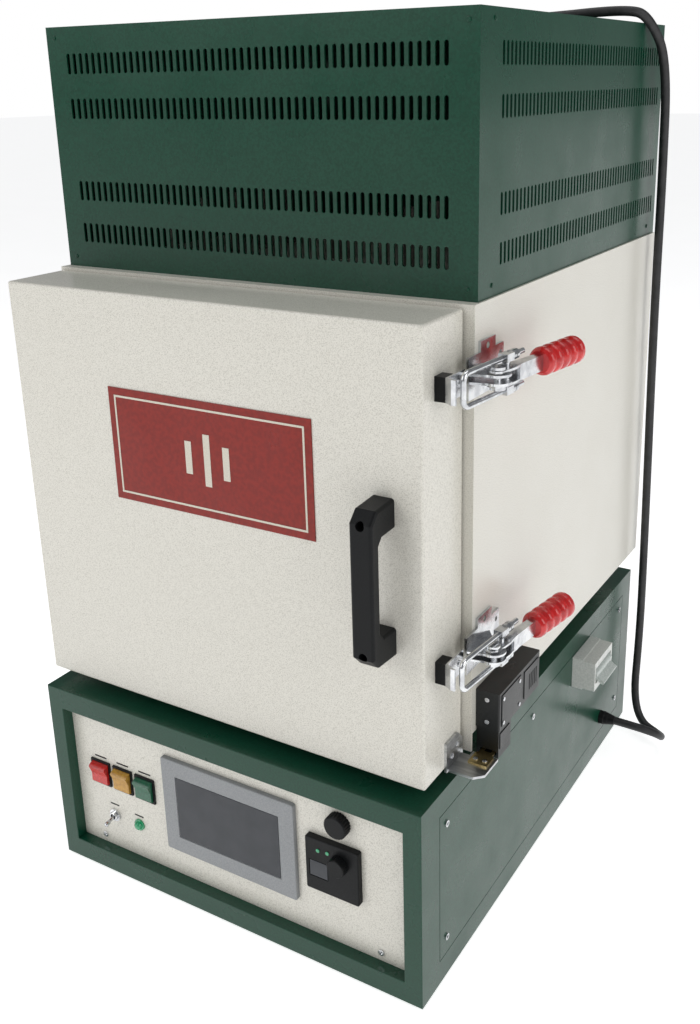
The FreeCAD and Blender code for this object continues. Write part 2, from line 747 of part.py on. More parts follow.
def build_rails():
    """Two rails that carry the hot body above the base."""
    for_length = "lining_rear - casing_front"
    rails = Piece("support_rails", "0", "casing_front", "base_top")
    rails.pad("y", "0", for_length,
              *[rectangle("%s - rail_width / 2" % x, "0", "%s + rail_width / 2" % x, "rail_height")
                for x in ("-rail_x", "rail_x")])


def element_places():
    """The middle of each element, left and right, front to rear."""
    return [(x, "element_pitch * %d" % row) for x in ("-element_x", "element_x")
            for row in (-1, 0, 1)]


def element_legs(radius):
    """One circle for each leg of each element, seen from above."""
    return [circle(x, "%s + %s" % (y, side), radius) for x, y in element_places()
            for side in ("element_leg_gap / 2", "-element_leg_gap / 2")]


def build_body():
    """Casing, front plate, lining, hearth, elements and probe."""
    casing = Piece("body_casing", "0", "chamber_mid", "body_low")
    start = "casing_front - chamber_mid"
    casing.pad("z", "0", "body_height",
               rectangle("-body_half", start, "body_half", "body_rear - chamber_mid"))
    casing.cut("z", "casing_sheet", "body_height - casing_sheet",
               rectangle("-lining_half", start, "lining_half", "lining_rear - chamber_mid"))
    casing.cut("z", "body_height - casing_sheet", "body_height",
               circle("0", "0", "element_bore_radius"), *element_legs("element_bore_radius"))

    plate = Piece("body_front_plate", "0", "plate_front", "body_low - plate_drop")
    chamber = "chamber_low - body_low + plate_drop"
    plate.pad("y", "0", "plate_sheet",
              rectangle("-body_half", "0", "body_half", "body_height + plate_drop"))
    plate.cut("y", "0", "plate_sheet",
              rectangle("-chamber_half_width - mouth_margin", "%s - mouth_margin" % chamber,
                        "chamber_half_width + mouth_margin",
                        "%s + chamber_height + mouth_margin" % chamber))

    block("lining_floor", "-lining_half", "lining_half", "casing_front", "lining_rear",
          "lining_low", "chamber_low")
    block("lining_left", "-lining_half", "-chamber_half_width", "casing_front", "lining_rear",
          "chamber_low", "chamber_high")
    block("lining_right", "chamber_half_width", "lining_half", "casing_front", "lining_rear",
          "chamber_low", "chamber_high")
    block("lining_rear", "-chamber_half_width", "chamber_half_width", "chamber_rear", "lining_rear",
          "chamber_low", "chamber_high")
    roof = Piece("lining_roof", "0", "chamber_mid", "chamber_high")
    roof.pad("z", "0", "lining_high - chamber_high",
             rectangle("-lining_half", start, "lining_half", "lining_rear - chamber_mid"))
    roof.cut("z", "0", "lining_high - chamber_high",
             circle("0", "0", "element_bore_radius"), *element_legs("element_bore_radius"))

    hearth = block("hearth_plate", "-chamber_half_width + hearth_margin / 2",
                   "chamber_half_width - hearth_margin / 2", "casing_front + hearth_margin / 3",
                   "chamber_rear - hearth_margin / 3", "chamber_low", "chamber_low + hearth_height")
    hearth.round_edges("2", lambda middle: abs(middle.z - number("hearth_height")) < 0.01)
    build_elements()

    probe = Piece("thermocouple", "0", "chamber_mid", "chamber_high - probe_reach")
    top = "body_top - chamber_high + probe_reach"
    probe.spin("z", polygon(("0", "0"), ("probe_radius - 1", "0"), ("probe_radius", "1"),
                            ("probe_radius", top), ("probe_head_radius", top),
                            ("probe_head_radius", "%s + probe_head_height" % top),
                            ("0", "%s + probe_head_height" % top)))


def build_elements():
    """Hanging heating elements: a thin hot hairpin, thick shanks and a collar on each shank."""
    elements = Piece("heating_elements", "0", "chamber_mid", "element_low")
    hot_top = "chamber_high - element_low - 8"
    shank_top = "body_top + element_stick_up - element_low"
    collar_low = "body_top - element_low"
    elements.pad("z", "0", hot_top, *element_legs("element_hot_radius"))
    elements.pad("z", hot_top, shank_top, *element_legs("element_shank_radius"))
    elements.pad("z", collar_low, "%s + collar_height" % collar_low, *element_legs("collar_radius"))
    for x, y in element_places():
        elements.pad("y", "%s - element_leg_gap / 2" % y, "%s + element_leg_gap / 2" % y,
                     circle(x, "element_hot_radius * 2", "element_hot_radius * 0.7"))


def slot_rows():
    """Heights of the four slot rows, measured up from the cover's lower edge."""
    top = "cover_height - slot_first_drop"
    return [top, "%s - slot_pair_gap" % top, "%s - slot_pairs_gap" % top,
            "%s - slot_pairs_gap - slot_pair_gap" % top]


def build_cover():
    """Five sheets over the element terminals, the upright ones with rows of vent slots."""
    inner = "cover_half - cover_sheet"
    for label, y in (("cover_front", "cover_front"), ("cover_rear", "rear - cover_sheet")):
        wall = Piece(label, "0", y, "body_top")
        wall.pad("y", "0", "cover_sheet", rectangle("-cover_half", "0", "cover_half", "cover_height"))
        extent = "slot_pitch * (slot_front_count - 1)"
        column = wall.cut("y", "0", "cover_sheet",
                          *[slot("-(%s) / 2 - 2" % extent, z, "slot_width", "slot_height")
                            for z in slot_rows()])
        wall.repeat(column, "x", extent, "slot_front_count")
    for label, x in (("cover_side_right", inner), ("cover_side_left", "-cover_half")):
        wall = Piece(label, x, "cover_front + cover_sheet", "body_top")
        depth = "rear - cover_front - cover_sheet * 2"
        wall.pad("x", "0", "cover_sheet", rectangle("0", "0", depth, "cover_height"))
        extent = "slot_pitch * (slot_side_count - 1)"
        column = wall.cut("x", "0", "cover_sheet",
                          *[slot("(%s - (%s)) / 2 + 17" % (depth, extent), z, "slot_width", "slot_height")
                            for z in slot_rows()])
        wall.repeat(column, "y", extent, "slot_side_count")
    block("cover_lid", "-(%s)" % inner, inner, "cover_front + cover_sheet", "rear - cover_sheet",
          "cover_top - cover_sheet", "cover_top")


def build_door():
    """Door shell, its insulation with the step into the mouth, seal, handle and hinges."""
    shell = Piece("door_shell", "door_left", "door_front", "door_low")
    shell.pad("y", "0", "door_depth", rectangle("0", "0", "door_width", "door_height"))
    shell.round_edges("door_round", lambda middle: middle.y < number("door_depth") - 0.01)
    shell.cut("y", "door_sheet", "door_depth",
              rectangle("door_sheet", "door_sheet", "door_width - door_sheet",
                        "door_height - door_sheet"))

    plug = Piece("door_plug", "0", "door_rear", "door_low")
    plug.pad("y", "door_sheet - door_depth", "0",
             rectangle("door_left + door_sheet", "door_sheet", "door_right - door_sheet",
                       "door_height - door_sheet"))
    chamber = "chamber_low - door_low"
    plug.pad("y", "0", "plug_step",
             rectangle("-chamber_half_width + plug_clearance", "%s + plug_clearance" % chamber,
                       "chamber_half_width - plug_clearance",
                       "%s + chamber_height - plug_clearance" % chamber))

    seal = Piece("door_seal", "0", "door_rear", "chamber_low")
    seal.pad("y", "0", "seal_thickness",
             rectangle("-chamber_half_width - mouth_margin - seal_width", "-mouth_margin - seal_width",
                       "chamber_half_width + mouth_margin + seal_width",
                       "chamber_height + mouth_margin + seal_width"),
             rectangle("-chamber_half_width - mouth_margin", "-mouth_margin",
                       "chamber_half_width + mouth_margin", "chamber_height + mouth_margin"))
    build_handle()
    build_hinges()


def build_handle():
    """Moulded bow handle with a screw pocket in each foot."""
    handle = Piece("door_handle", "handle_x", "door_front", "door_low + handle_rise")
    out = "handle_standoff"
    top = "handle_height"
    inner = "handle_standoff - handle_grip"
    handle.pad("x", "-handle_width / 2", "handle_width / 2",
               polygon(("0", "0"), ("-%s + 12" % out, "2"), ("-%s" % out, "14"),
                       ("-%s" % out, "%s - 14" % top), ("-%s + 12" % out, "%s - 2" % top),
                       ("0", top), ("0", "%s - handle_foot" % top),
                       ("-(%s) + 6" % inner, "%s - handle_foot - 1" % top),
                       ("-(%s)" % inner, "%s - handle_foot - 8" % top),
                       ("-(%s)" % inner, "handle_foot + 8"), ("-(%s) + 6" % inner, "handle_foot + 1"),
                       ("0", "handle_foot")))
    handle.round_edges("3.5", lambda middle: abs(middle.x) > number("handle_width / 2") - 0.01
                       and middle.y < -1)
    pockets = [circle("0", z, "handle_pocket_radius") for z in ("16", "%s - 16" % top)]
    handle.cut("y", "-%s" % out, "-6", *pockets)


def build_hinges():
    """Two lift-type hinges: a body leaf with the pin and two knuckles, a door leaf between."""
    knuckle = "hinge_length / 6"
    half = "hinge_length / 2"
    gap = "knuckle_gap"
    axis_to_door = "hinge_offset"
    axis_to_body = "-body_half - hinge_x"
    leaf_outer = "hinge_offset - hinge_leaf_outer"
    rises = ("hinge_low_rise", "hinge_high_rise")

    body_leaves = Piece("body_hinge_leaves", "hinge_x", "door_rear", "door_low")
    door_leaves = Piece("door_hinge_leaves", "hinge_x", "door_rear", "door_low")
    for rise in rises:
        middle = "(%s)" % rise
        body_leaves.pad("z", "%s - %s" % (middle, half), "%s + %s" % (middle, half),
                        rectangle(leaf_outer, "hinge_leaf_clear", axis_to_body, "hinge_leaf_reach"),
                        circle("0", "0", "hinge_pin_radius"))
        for low, high in (("-" + half, "-(%s)" % knuckle), (knuckle, half)):
            body_leaves.pad("z", "%s + %s" % (middle, low), "%s + %s" % (middle, high),
                            circle("0", "0", "barrel_radius"))
            body_leaves.pad("z", "%s + %s" % (middle, low), "%s + %s" % (middle, high),
                            polygon(("0", "0"), ("barrel_radius - 0.5", "0"), (axis_to_body, "4"),
                                    (axis_to_body, "hinge_leaf_clear + 1"),
                                    (leaf_outer, "hinge_leaf_clear + 1"), ("0", "barrel_radius - 0.5")))
        door_leaves.pad("z", "%s - %s + %s" % (middle, knuckle, gap),
                        "%s + %s - %s" % (middle, knuckle, gap),
                        circle("0", "0", "barrel_radius"))
        door_leaves.pad("z", "%s - %s + %s" % (middle, knuckle, gap),
                        "%s + %s - %s" % (middle, knuckle, gap),
                        polygon(("0", "0"), (axis_to_door, "0"), (axis_to_door, "-hinge_leaf_clear - 1"),
                                (leaf_outer, "-hinge_leaf_clear - 1"), ("0", "-barrel_radius + 0.5")))
        door_leaves.pad("z", "%s - %s" % (middle, half), "%s + %s" % (middle, half),
                        rectangle(leaf_outer, "-hinge_leaf_reach", axis_to_door, "-hinge_leaf_clear"))
        door_leaves.cut("z", "%s - %s" % (middle, knuckle), "%s + %s" % (middle, knuckle),
                        circle("0", "0", "hinge_pin_radius + running_clearance"))


def build_latches():
    """Two draw latches: base and ears on the body, lever, grip, bale, and a catch on the door."""
    rises = {"upper": "latch_high_rise", "lower": "latch_low_rise"}
    build_latch_bases(rises.values())
    build_catches(rises.values())
    for name, rise in rises.items():
        build_lever(name, rise)
        build_bale(name, rise)


def build_latch_bases(rises):
    """Base plates with a mounting tab, two ears and the riveted pivot pin."""
    bases = Piece("latch_bases", "pivot_x", "pivot_y", "door_low")
    for rise in rises:
        middle = "(%s)" % rise
        half = "latch_plate_half_height"
        bases.pad("x", "-pivot_out", "-pivot_out + latch_plate_sheet",
                  polygon(("-20", "%s - %s" % (middle, half)), ("62", "%s - %s" % (middle, half)),
                          ("62", "%s + %s" % (middle, half)), ("42", "%s + %s" % (middle, half)),
                          ("42", "%s + 33" % middle), ("7", "%s + 33" % middle),
                          ("7", "%s + %s" % (middle, half)), ("-20", "%s + %s" % (middle, half))))
        bases.cut("x", "-pivot_out", "-pivot_out + latch_plate_sheet",
                  circle("24", "%s + 26" % middle, "3.5"), circle("54", "%s - 12" % middle, "3"),
                  circle("54", "%s + 12" % middle, "3"))
        for low, high in (("ear_half_gap", "ear_half_gap + ear_sheet"),
                          ("-ear_half_gap - ear_sheet", "-ear_half_gap")):
            bases.pad("z", "%s + %s" % (middle, low), "%s + %s" % (middle, high),
                      polygon(("-pivot_out + 1", "-18"), ("-4", "-ear_radius + 0.6"),
                              ("-4", "ear_radius - 0.6"), ("-pivot_out + 1", "40")))
            bases.pad("z", "%s + %s" % (middle, low), "%s + %s" % (middle, high),
                      circle("0", "0", "ear_radius"))
        head = "lever_half_gap + lever_sheet + 0.3"
        bases.pad("z", "%s - (%s)" % (middle, head), "%s + %s" % (middle, head),
                  circle("0", "0", "latch_pin_radius"))
        for low, high in ((head, "%s + 3" % head), ("-(%s) - 3" % head, "-(%s)" % head)):
            bases.pad("z", "%s + %s" % (middle, low), "%s + %s" % (middle, high),
                      circle("0", "0", "latch_pin_radius * 2"))


def build_catches(rises):
    """Spacer blocks on the door's side and the folded plate that each bale reaches round."""
    front = "hook_y - 4"
    blocks = Piece("catch_blocks", "door_right", front, "door_low")
    plates = Piece("latch_catches", "door_right + catch_depth", front, "door_low")
    lip = "hook_x - bale_rod_radius - hook_clearance - door_right - catch_depth"
    sheet_gap = "catch_sheet"
    for rise in rises:
        low = "(%s) - catch_half_height" % rise
        high = "(%s) + catch_half_height" % rise
        blocks.pad("z", low, high, rectangle("0", "0", "catch_depth", "catch_length * 0.45"))
        plates.pad("z", low, high,
                   polygon(("0", "0"), ("%s - 5" % lip, "-5"), (lip, "-5.5"), (lip, "-3"),
                           ("%s - 4" % lip, "-2.8"), (sheet_gap + " + 1", "1.6"),
                           (sheet_gap, "3"), (sheet_gap, "catch_length"), ("0", "catch_length")))


def build_lever(name, rise):
    """Two lever cheeks joined by a neck, and the ribbed grip pushed on it."""
    place = {"x": "pivot_x", "y": "pivot_y", "z": "door_low + " + rise,
             "turn_axis": (0, 0, -1), "turn": "lever_angle"}
    lever = Piece(name + "_latch_lever", **place)
    outer = "lever_half_gap + lever_sheet"
    bore = "latch_pin_radius + running_clearance"
    cheek = polygon(("-8", "-7"), ("-3", "-10"), ("4", "-10"), ("9", "-5"), ("9", "20"),
                    ("6", "36"), ("6", "40"), ("-6", "40"), ("-10", "28"), ("-11", "16"), ("-10", "0"))
    for low, high in (("lever_half_gap", outer), ("-(%s)" % outer, "-lever_half_gap")):
        lever.pad("z", low, high, cheek)
    lever.pad("z", "-(%s)" % outer, outer,
              polygon(("7", "30"), ("6", "40"), ("4.5", "lever_neck"), ("-4.5", "lever_neck"),
                      ("-6", "40"), ("-7", "30")))
    lever.pad("y", "lever_neck", "lever_neck + grip_length * 0.8",
              rectangle("-3", "-6", "3", "6"))
    lever.cut("z", "-(%s)" % outer, outer, circle("0", "0", bore),
              circle("trunnion_x", "trunnion_y", bore))

    grip = Piece(name + "_latch_grip", **place)
    count = int(number("grip_ribs"))
    pitch = "grip_length / %d" % count
    outline = [("0", "lever_neck")]
    for rib in range(count):
        base = "lever_neck + %s * %d" % (pitch, rib)
        for share, radius in ((0.0, "grip_radius - 3.5"), (0.18, "grip_radius - 0.8"),
                              (0.32, "grip_radius"), (0.6, "grip_radius"), (0.74, "grip_radius - 0.8"),
                              (0.9, "grip_radius - 3.5")):
            outline.append((radius, "%s + %s * %s" % (base, pitch, share)))
    outline.append(("grip_radius - 5", "lever_neck + grip_length"))
    outline.append(("0", "lever_neck + grip_length"))
    grip.spin("y", polygon(*outline))
    grip.cut("y", "lever_neck", "lever_neck + grip_length * 0.8",
             rectangle("-3", "-6", "3", "6"))


def build_bale(name, rise):
    """U-shaped draw rod with its trunnion, end blocks and nuts on the threaded tails."""
    bale = Piece(name + "_latch_bale", "pivot_x", "pivot_y + trunnion_reach", "door_low + " + rise,
                 turn_axis=(0, 0, -1), turn="bale_tilt")
    reach = "sqrt(hook_reach * hook_reach + hook_inset * hook_inset)"
    wide, corner, tail = "bale_half_width", "bale_corner", "bale_tail"
    bend = "%s - %s" % (reach, corner)
    route = bale.body.newObject("Sketcher::SketchObject", bale.label + "_route")
    route.AttachmentSupport = [(bale.origin("YZ_Plane"), "")]
    route.MapMode = "FlatFace"
    far, turn, radius = -number(reach), -number(bend), number(corner)
    side, inner, back = number(wide), number(wide) - number(corner), number(tail)
    chain = [
        Part.LineSegment(FreeCAD.Vector(back, side), FreeCAD.Vector(turn, side)),
        Part.ArcOfCircle(Part.Circle(FreeCAD.Vector(turn, inner), UP, radius), math.pi / 2, math.pi),
        Part.LineSegment(FreeCAD.Vector(far, inner), FreeCAD.Vector(far, -inner)),
        Part.ArcOfCircle(Part.Circle(FreeCAD.Vector(turn, -inner), UP, radius), math.pi, math.pi * 1.5),
        Part.LineSegment(FreeCAD.Vector(turn, -side), FreeCAD.Vector(back, -side)),
    ]
    for shape in chain:
        route.addGeometry(shape, False)
    for index in range(len(chain) - 1):
        route.addConstraint(Sketcher.Constraint("Tangent", index, 2, index + 1, 1))
    place_point(route, 0, 1, tail, wide)
    place_point(route, 4, 2, tail, "-" + wide)
    for arc, level in ((1, "%s - %s" % (wide, corner)), (3, "%s - %s" % (corner, wide))):
        place_point(route, arc, 3, "-(%s)" % bend, level)
        set_radius(route, arc, corner)
    pipe = bale.body.newObject("PartDesign::AdditivePipe", bale.label + "_rod")
    pipe.Profile = bale.sketch("y", [circle("0", wide, "bale_rod_radius")], ("0", tail, "0"))
    pipe.Spine = (route, ["Edge%d" % edge for edge in range(1, len(chain) + 1)])
    bale.body.Tip = pipe
    doc.recompute()
    bale.pad("z", "-%s" % wide, wide, circle("0", "0", "latch_pin_radius"))
    for low, high in (("%s - 4" % wide, "%s + 4" % wide), ("-%s - 4" % wide, "-%s + 4" % wide)):
        bale.pad("z", low, high, rectangle("-5.5", "-7", "5.5", "7"))
    for start in ("7", "13"):
        bale.pad("y", start, "%s + 5" % start,
                 *[circle("0", z, "bale_rod_radius + 2.6") for z in (wide, "-" + wide)])


def build_switch():
    """Door switch on the body; bracket and key on the door's right side."""
    switch = Piece("safety_switch", "body_half", "switch_front", "switch_low")
    switch.pad("z", "0", "switch_height",
               rectangle("0", "0", "switch_width", "switch_depth"))
    switch.pad("z", "-switch_head_height", "0",
               rectangle("1", "1", "switch_width - 1", "switch_head_depth"))
    switch.round_edges("2", lambda middle: abs(middle.z - number("switch_height / 2")) < 0.01
                       and middle.x > 1)
    key_low = "bracket_low + bracket_sheet - switch_low"
    key_left = "door_right + bracket_reach - 7 - key_width - body_half"
    switch.cut("y", "0", "key_reach + 12",
               rectangle("%s - 1.5" % key_left, "%s - 1.25" % key_low,
                         "%s + key_width + 1.5" % key_left, "%s + key_thickness + 1.25" % key_low))

    bracket = Piece("key_bracket", "door_right", "door_rear + 8", "bracket_low")
    bracket.pad("z", "0", "bracket_sheet",
                polygon(("0", "-bracket_depth"), ("bracket_reach - 10", "-bracket_depth"),
                        ("bracket_reach", "-bracket_depth + 10"), ("bracket_reach", "0"),
                        ("12", "0"), ("12", "-8"), ("0", "-8")))
    bracket.pad("x", "0", "bracket_sheet",
                polygon(("-bracket_depth - 3", "0"), ("-8", "0"), ("-8", "bracket_height - 12"),
                        ("-20", "bracket_height"), ("-bracket_depth - 3", "bracket_height")))

    key = Piece("switch_key", "door_right + bracket_reach - 7", "door_rear + 8",
                "bracket_low + bracket_sheet")
    key.pad("z", "0", "key_thickness",
            polygon(("-key_width - 3", "-22"), ("3", "-22"), ("3", "-3"), ("0", "0"),
                    ("0", "key_reach"), ("-key_width", "key_reach"), ("-key_width", "0"),
                    ("-key_width - 3", "-3")))
    key.cut("z", "0", "key_thickness",
            rectangle("-key_width + 4", "4", "-4", "key_reach - 4"))


def cord_wire(points):
    """Straight runs with a tangent arc at each corner, and the radius of every arc."""
    edges = []
    radii = []
    start = points[0]
    for before, corner, after in zip(points, points[1:], points[2:]):
        back = before - corner
        ahead = after - corner
        half_turn = (math.pi - back.getAngle(ahead)) / 2
        trim = 0.45 * min(back.Length, ahead.Length)
        radii.append(trim / math.tan(half_turn))
        arc_start = corner + back.normalize() * trim
        arc_end = corner + ahead.normalize() * trim
        inward = (back + ahead).normalize()
        centre_gap = radii[-1] / math.cos(half_turn)
        arc_middle = corner + inward * (centre_gap - radii[-1])
        edges.append(Part.LineSegment(start, arc_start).toShape())
        edges.append(Part.Arc(arc_start, arc_middle, arc_end).toShape())
        start = arc_end
    edges.append(Part.LineSegment(start, points[-1]).toShape())
    return Part.Wire(edges), radii


def swept_tube(points, radius):
    """A round tube along the points, checked against its section times its length."""
    wire, radii = cord_wire(points)
    heading = (points[1] - points[0]).normalize()
    section = Part.Wire(Part.Circle(points[0], heading, radius).toShape())
    tube = wire.makePipeShell([section], True, False)
    expected = math.pi * radius ** 2 * wire.Length
    print("cord: length %.0f, smallest bend %.0f, volume ratio %.4f"
          % (wire.Length, min(radii, default=0), tube.Volume / expected))
    print("cord bends:", " ".join("%.0f" % bend for bend in radii))
    return tube, wire.Length


# The cord's route from the gland, up the side and over the cover: out, back and up from the
# gland's end, each point as distances the sizes decide.
ROUTE = [
    ("gland_end", "gland_y", "gland_z"),
    ("gland_end + 65", "gland_y", "gland_z"),
    ("gland_end + 76", "gland_y + 50", "gland_z - 41"),
    ("body_half + 20", "gland_y + 80", "gland_z - 35"),
    ("body_half + 16", "gland_y + 109", "gland_z + 104"),
    ("body_half + 16", "gland_y + 104", "body_low + 3"),
    ("body_half + 16", "gland_y + 96", "body_low + 143"),
    ("body_half + 16", "gland_y + 87", "cover_top - 477"),
    ("body_half + 16", "gland_y + 81", "cover_top - 337"),
    ("body_half + 16", "gland_y + 81", "cover_top - 197"),
    ("body_half + 16", "gland_y + 71", "cover_top - 43"),
    ("cover_half + 6", "gland_y + 27", "cover_top + 6"),
    ("cover_half - 14", "gland_y + 11", "cover_top + 17"),
    ("cover_half - 128", "gland_y - 26", "cover_top + 8"),
    ("cover_half - 256", "gland_y - 43", "cover_top + cord_radius"),
    ("-coil_x + 50.5", "front + coil_back - coil_radius", "cover_top + cord_radius"),
]


def build_cord():
    """Gland, supply cord, its coil on the lid and the plug beside the coil."""
    gland = Piece("cable_gland", "base_half", "gland_y", "gland_z")
    inner = "gland_radius - 2.5"
    gland.spin("x", polygon(("-14", "0"), ("-14", inner), ("0", inner), ("0", "gland_radius"),
                            ("7", "gland_radius"), ("8", "gland_radius - 1"),
                            ("gland_proud - 2", "gland_radius - 1.6"),
                            ("gland_proud", "gland_radius - 3"), ("gland_proud", "0")))
    flat = gland.cut("x", "0.8", "7",
                     rectangle("gland_radius - 0.9", "-8", "gland_radius + 2", "8"))
    gland.ring(flat, "x", "6")

    points = [vector(*point) for point in ROUTE]
    tube, length = swept_tube(points, number("cord_radius"))
    cord = doc.addObject("Part::Feature", "power_cord")
    cord.Label = "power_cord"
    cord.Shape = tube
    cord.Placement = FreeCAD.Placement()

    coil = Piece("power_cord_coil", "-coil_x", "front + coil_back", "cover_top")
    wide = "cord_radius * 2"
    coil.spin("z", polygon(("coil_radius - %s + 2.5" % wide, "0"), ("coil_radius + %s - 2.5" % wide, "0"),
                           ("coil_radius + %s" % wide, "3.5"), ("coil_radius + %s" % wide, "%s * 2 - 3.5" % wide),
                           ("coil_radius + %s - 2.5" % wide, "%s * 2" % wide),
                           ("coil_radius - %s + 2.5" % wide, "%s * 2" % wide),
                           ("coil_radius - %s" % wide, "%s * 2 - 3.5" % wide),
                           ("coil_radius - %s" % wide, "3.5")))
    coil_length = 2 * math.pi * number("coil_radius * coil_turns")
    print("cord: %.0f mm outside the coil and %.0f mm in it" % (length, coil_length))

    plug = Piece("power_plug", "-coil_x + 56", "front + coil_back + coil_radius", "cover_top")
    half = "plug_width / 2"
    plug.pad("z", "0", "plug_height",
             polygon(("0", "-8"), ("plug_length / 3", "-" + half), ("plug_length - 6", "-" + half),
                     ("plug_length", "6 - " + half), ("plug_length", half + " - 6"),
                     ("plug_length - 6", half), ("plug_length / 3", half), ("0", "8")))
    plug.pad("x", "plug_length", "plug_length + 18",
             *[rectangle("%s - 3" % y, "%s - 1" % z, "%s + 3" % y, "%s + 1" % z)
               for y in ("-plug_width / 4", "plug_width / 4")
               for z in ("plug_height * 0.3", "plug_height * 0.7")])
    return cord


def check_and_write(others):
    """Stop at the first faulty feature, then write one file for each piece."""
    doc.recompute()
    for item in doc.Objects:
        if "Invalid" in item.State or "Error" in item.State:
            raise RuntimeError("%s: %s" % (item.Label, item.State))
    os.makedirs("parts", exist_ok=True)
    for item in [piece.body for piece in pieces] + others:
        if item.Shape.isNull() or not item.Shape.isValid():
            raise RuntimeError("%s: no valid shape" % item.Label)
        if item.Shape.Volume < 1:
            raise RuntimeError("%s: empty" % item.Label)
        item.Shape.exportStep("parts/%s.step" % item.Label)
    print("%d pieces written" % (len(pieces) + len(others)))


build_base()
build_panel()
build_breaker()
build_rails()
build_body()
build_cover()
build_door()
build_latches()
build_switch()
check_and_write([build_cord()])
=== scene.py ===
"""Front-loading pottery kiln: finishes, trim, supply cord, lights and camera on the fixed frame."""
import logging
import math
from dataclasses import dataclass, field
from enum import Enum

import bmesh
import bpy
from mathutils import Euler, Matrix, Vector


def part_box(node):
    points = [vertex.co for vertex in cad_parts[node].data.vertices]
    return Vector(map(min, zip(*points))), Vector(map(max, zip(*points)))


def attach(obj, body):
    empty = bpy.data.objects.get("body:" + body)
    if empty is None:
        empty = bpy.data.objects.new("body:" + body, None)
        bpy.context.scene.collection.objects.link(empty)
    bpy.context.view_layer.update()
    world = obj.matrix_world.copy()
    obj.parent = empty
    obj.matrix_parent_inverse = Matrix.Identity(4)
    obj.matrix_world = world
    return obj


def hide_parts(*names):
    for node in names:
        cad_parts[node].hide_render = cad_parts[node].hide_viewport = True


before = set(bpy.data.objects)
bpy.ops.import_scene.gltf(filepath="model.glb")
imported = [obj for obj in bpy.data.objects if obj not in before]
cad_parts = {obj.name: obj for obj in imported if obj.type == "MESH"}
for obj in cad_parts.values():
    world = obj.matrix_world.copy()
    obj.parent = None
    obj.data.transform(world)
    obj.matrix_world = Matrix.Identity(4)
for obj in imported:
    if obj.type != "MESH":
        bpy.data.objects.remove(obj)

LOG = logging.getLogger("kiln")
Colour = tuple[float, float, float]
Point = tuple[float, float, float]
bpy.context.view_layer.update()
MM = 0.001


class Facing(Enum):
    """The way a small part looks out of the surface that it is fixed to."""

    FRONT = (math.radians(90), 0.0, 0.0)
    RIGHT = (math.radians(90), 0.0, math.radians(90))
    UP = (0.0, 0.0, 0.0)


@dataclass(frozen=True)
class Finish:
    """A procedural surface: two blended colours, a roughness that varies and a fine relief."""

    name: str
    colour: Colour
    fleck: Colour
    fleck_scale: float = 900.0
    fleck_reach: float = 0.5
    fleck_edge: float = 0.12
    roughness: float = 0.4
    roughness_spread: float = 0.1
    relief_scale: float = 700.0
    relief: float = 0.1
    metallic: float = 0.0
    coat: float = 0.0
    coat_roughness: float = 0.1
    specular: float = 0.5
    glow: float = 0.0
    grain: Point = (1.0, 1.0, 1.0)

    def build(self) -> bpy.types.Material:
        """Make the material.

        Returns:
            The finished material, its uniform values on the shader's own sockets.
        """
        material = bpy.data.materials.new(self.name)
        material.use_nodes = True
        nodes, links = material.node_tree.nodes, material.node_tree.links
        shader = nodes["Principled BSDF"]
        place = nodes.new("ShaderNodeTexCoord")
        turn = nodes.new("ShaderNodeMapping")
        turn.inputs["Scale"].default_value = self.grain
        links.new(place.outputs["Object"], turn.inputs["Vector"])
        flecks = self._noise(nodes, links, turn, self.fleck_scale, 3.0)
        ramp = nodes.new("ShaderNodeValToRGB")
        ramp.color_ramp.elements[0].position = max(0.0, self.fleck_reach - self.fleck_edge)
        ramp.color_ramp.elements[0].color = (*self.fleck, 1.0)
        ramp.color_ramp.elements[1].position = min(1.0, self.fleck_reach + self.fleck_edge)
        ramp.color_ramp.elements[1].color = (*self.colour, 1.0)
        links.new(flecks.outputs["Fac"], ramp.inputs["Fac"])
        links.new(ramp.outputs["Color"], shader.inputs["Base Color"])
        patches = self._noise(nodes, links, turn, 14.0, 4.0)
        spread = nodes.new("ShaderNodeMapRange")
        spread.inputs["From Min"].default_value = 0.3
        spread.inputs["From Max"].default_value = 0.7
        spread.inputs["To Min"].default_value = max(0.02, self.roughness - self.roughness_spread)
        spread.inputs["To Max"].default_value = min(1.0, self.roughness + self.roughness_spread)
        links.new(patches.outputs["Fac"], spread.inputs["Value"])
        links.new(spread.outputs["Result"], shader.inputs["Roughness"])
        grainy = self._noise(nodes, links, turn, self.relief_scale, 2.0)
        bump = nodes.new("ShaderNodeBump")
        bump.inputs["Strength"].default_value = self.relief
        bump.inputs["Distance"].default_value = 0.0004
        links.new(grainy.outputs["Fac"], bump.inputs["Height"])
        links.new(bump.outputs["Normal"], shader.inputs["Normal"])
        shader.inputs["Metallic"].default_value = self.metallic
        shader.inputs["Coat Weight"].default_value = self.coat
        shader.inputs["Coat Roughness"].default_value = self.coat_roughness
        shader.inputs["Specular IOR Level"].default_value = self.specular
        shader.inputs["Emission Color"].default_value = (*self.colour, 1.0)
        shader.inputs["Emission Strength"].default_value = self.glow
        return material

    def _noise(self, nodes: bpy.types.Nodes, links: bpy.types.NodeLinks,
               place: bpy.types.Node, scale: float, detail: float) -> bpy.types.Node:
        """Add a noise on the placed coordinates.

        Args:
            nodes: The material's nodes.
            links: The material's links.
            place: The mapping node to read.
            scale: Noise cells in a metre.
            detail: Octaves.

        Returns:
            The noise node.
        """
        noise = nodes.new("ShaderNodeTexNoise")
        noise.inputs["Scale"].default_value = scale
        noise.inputs["Detail"].default_value = detail
        links.new(place.outputs["Vector"], noise.inputs["Vector"])
        return noise


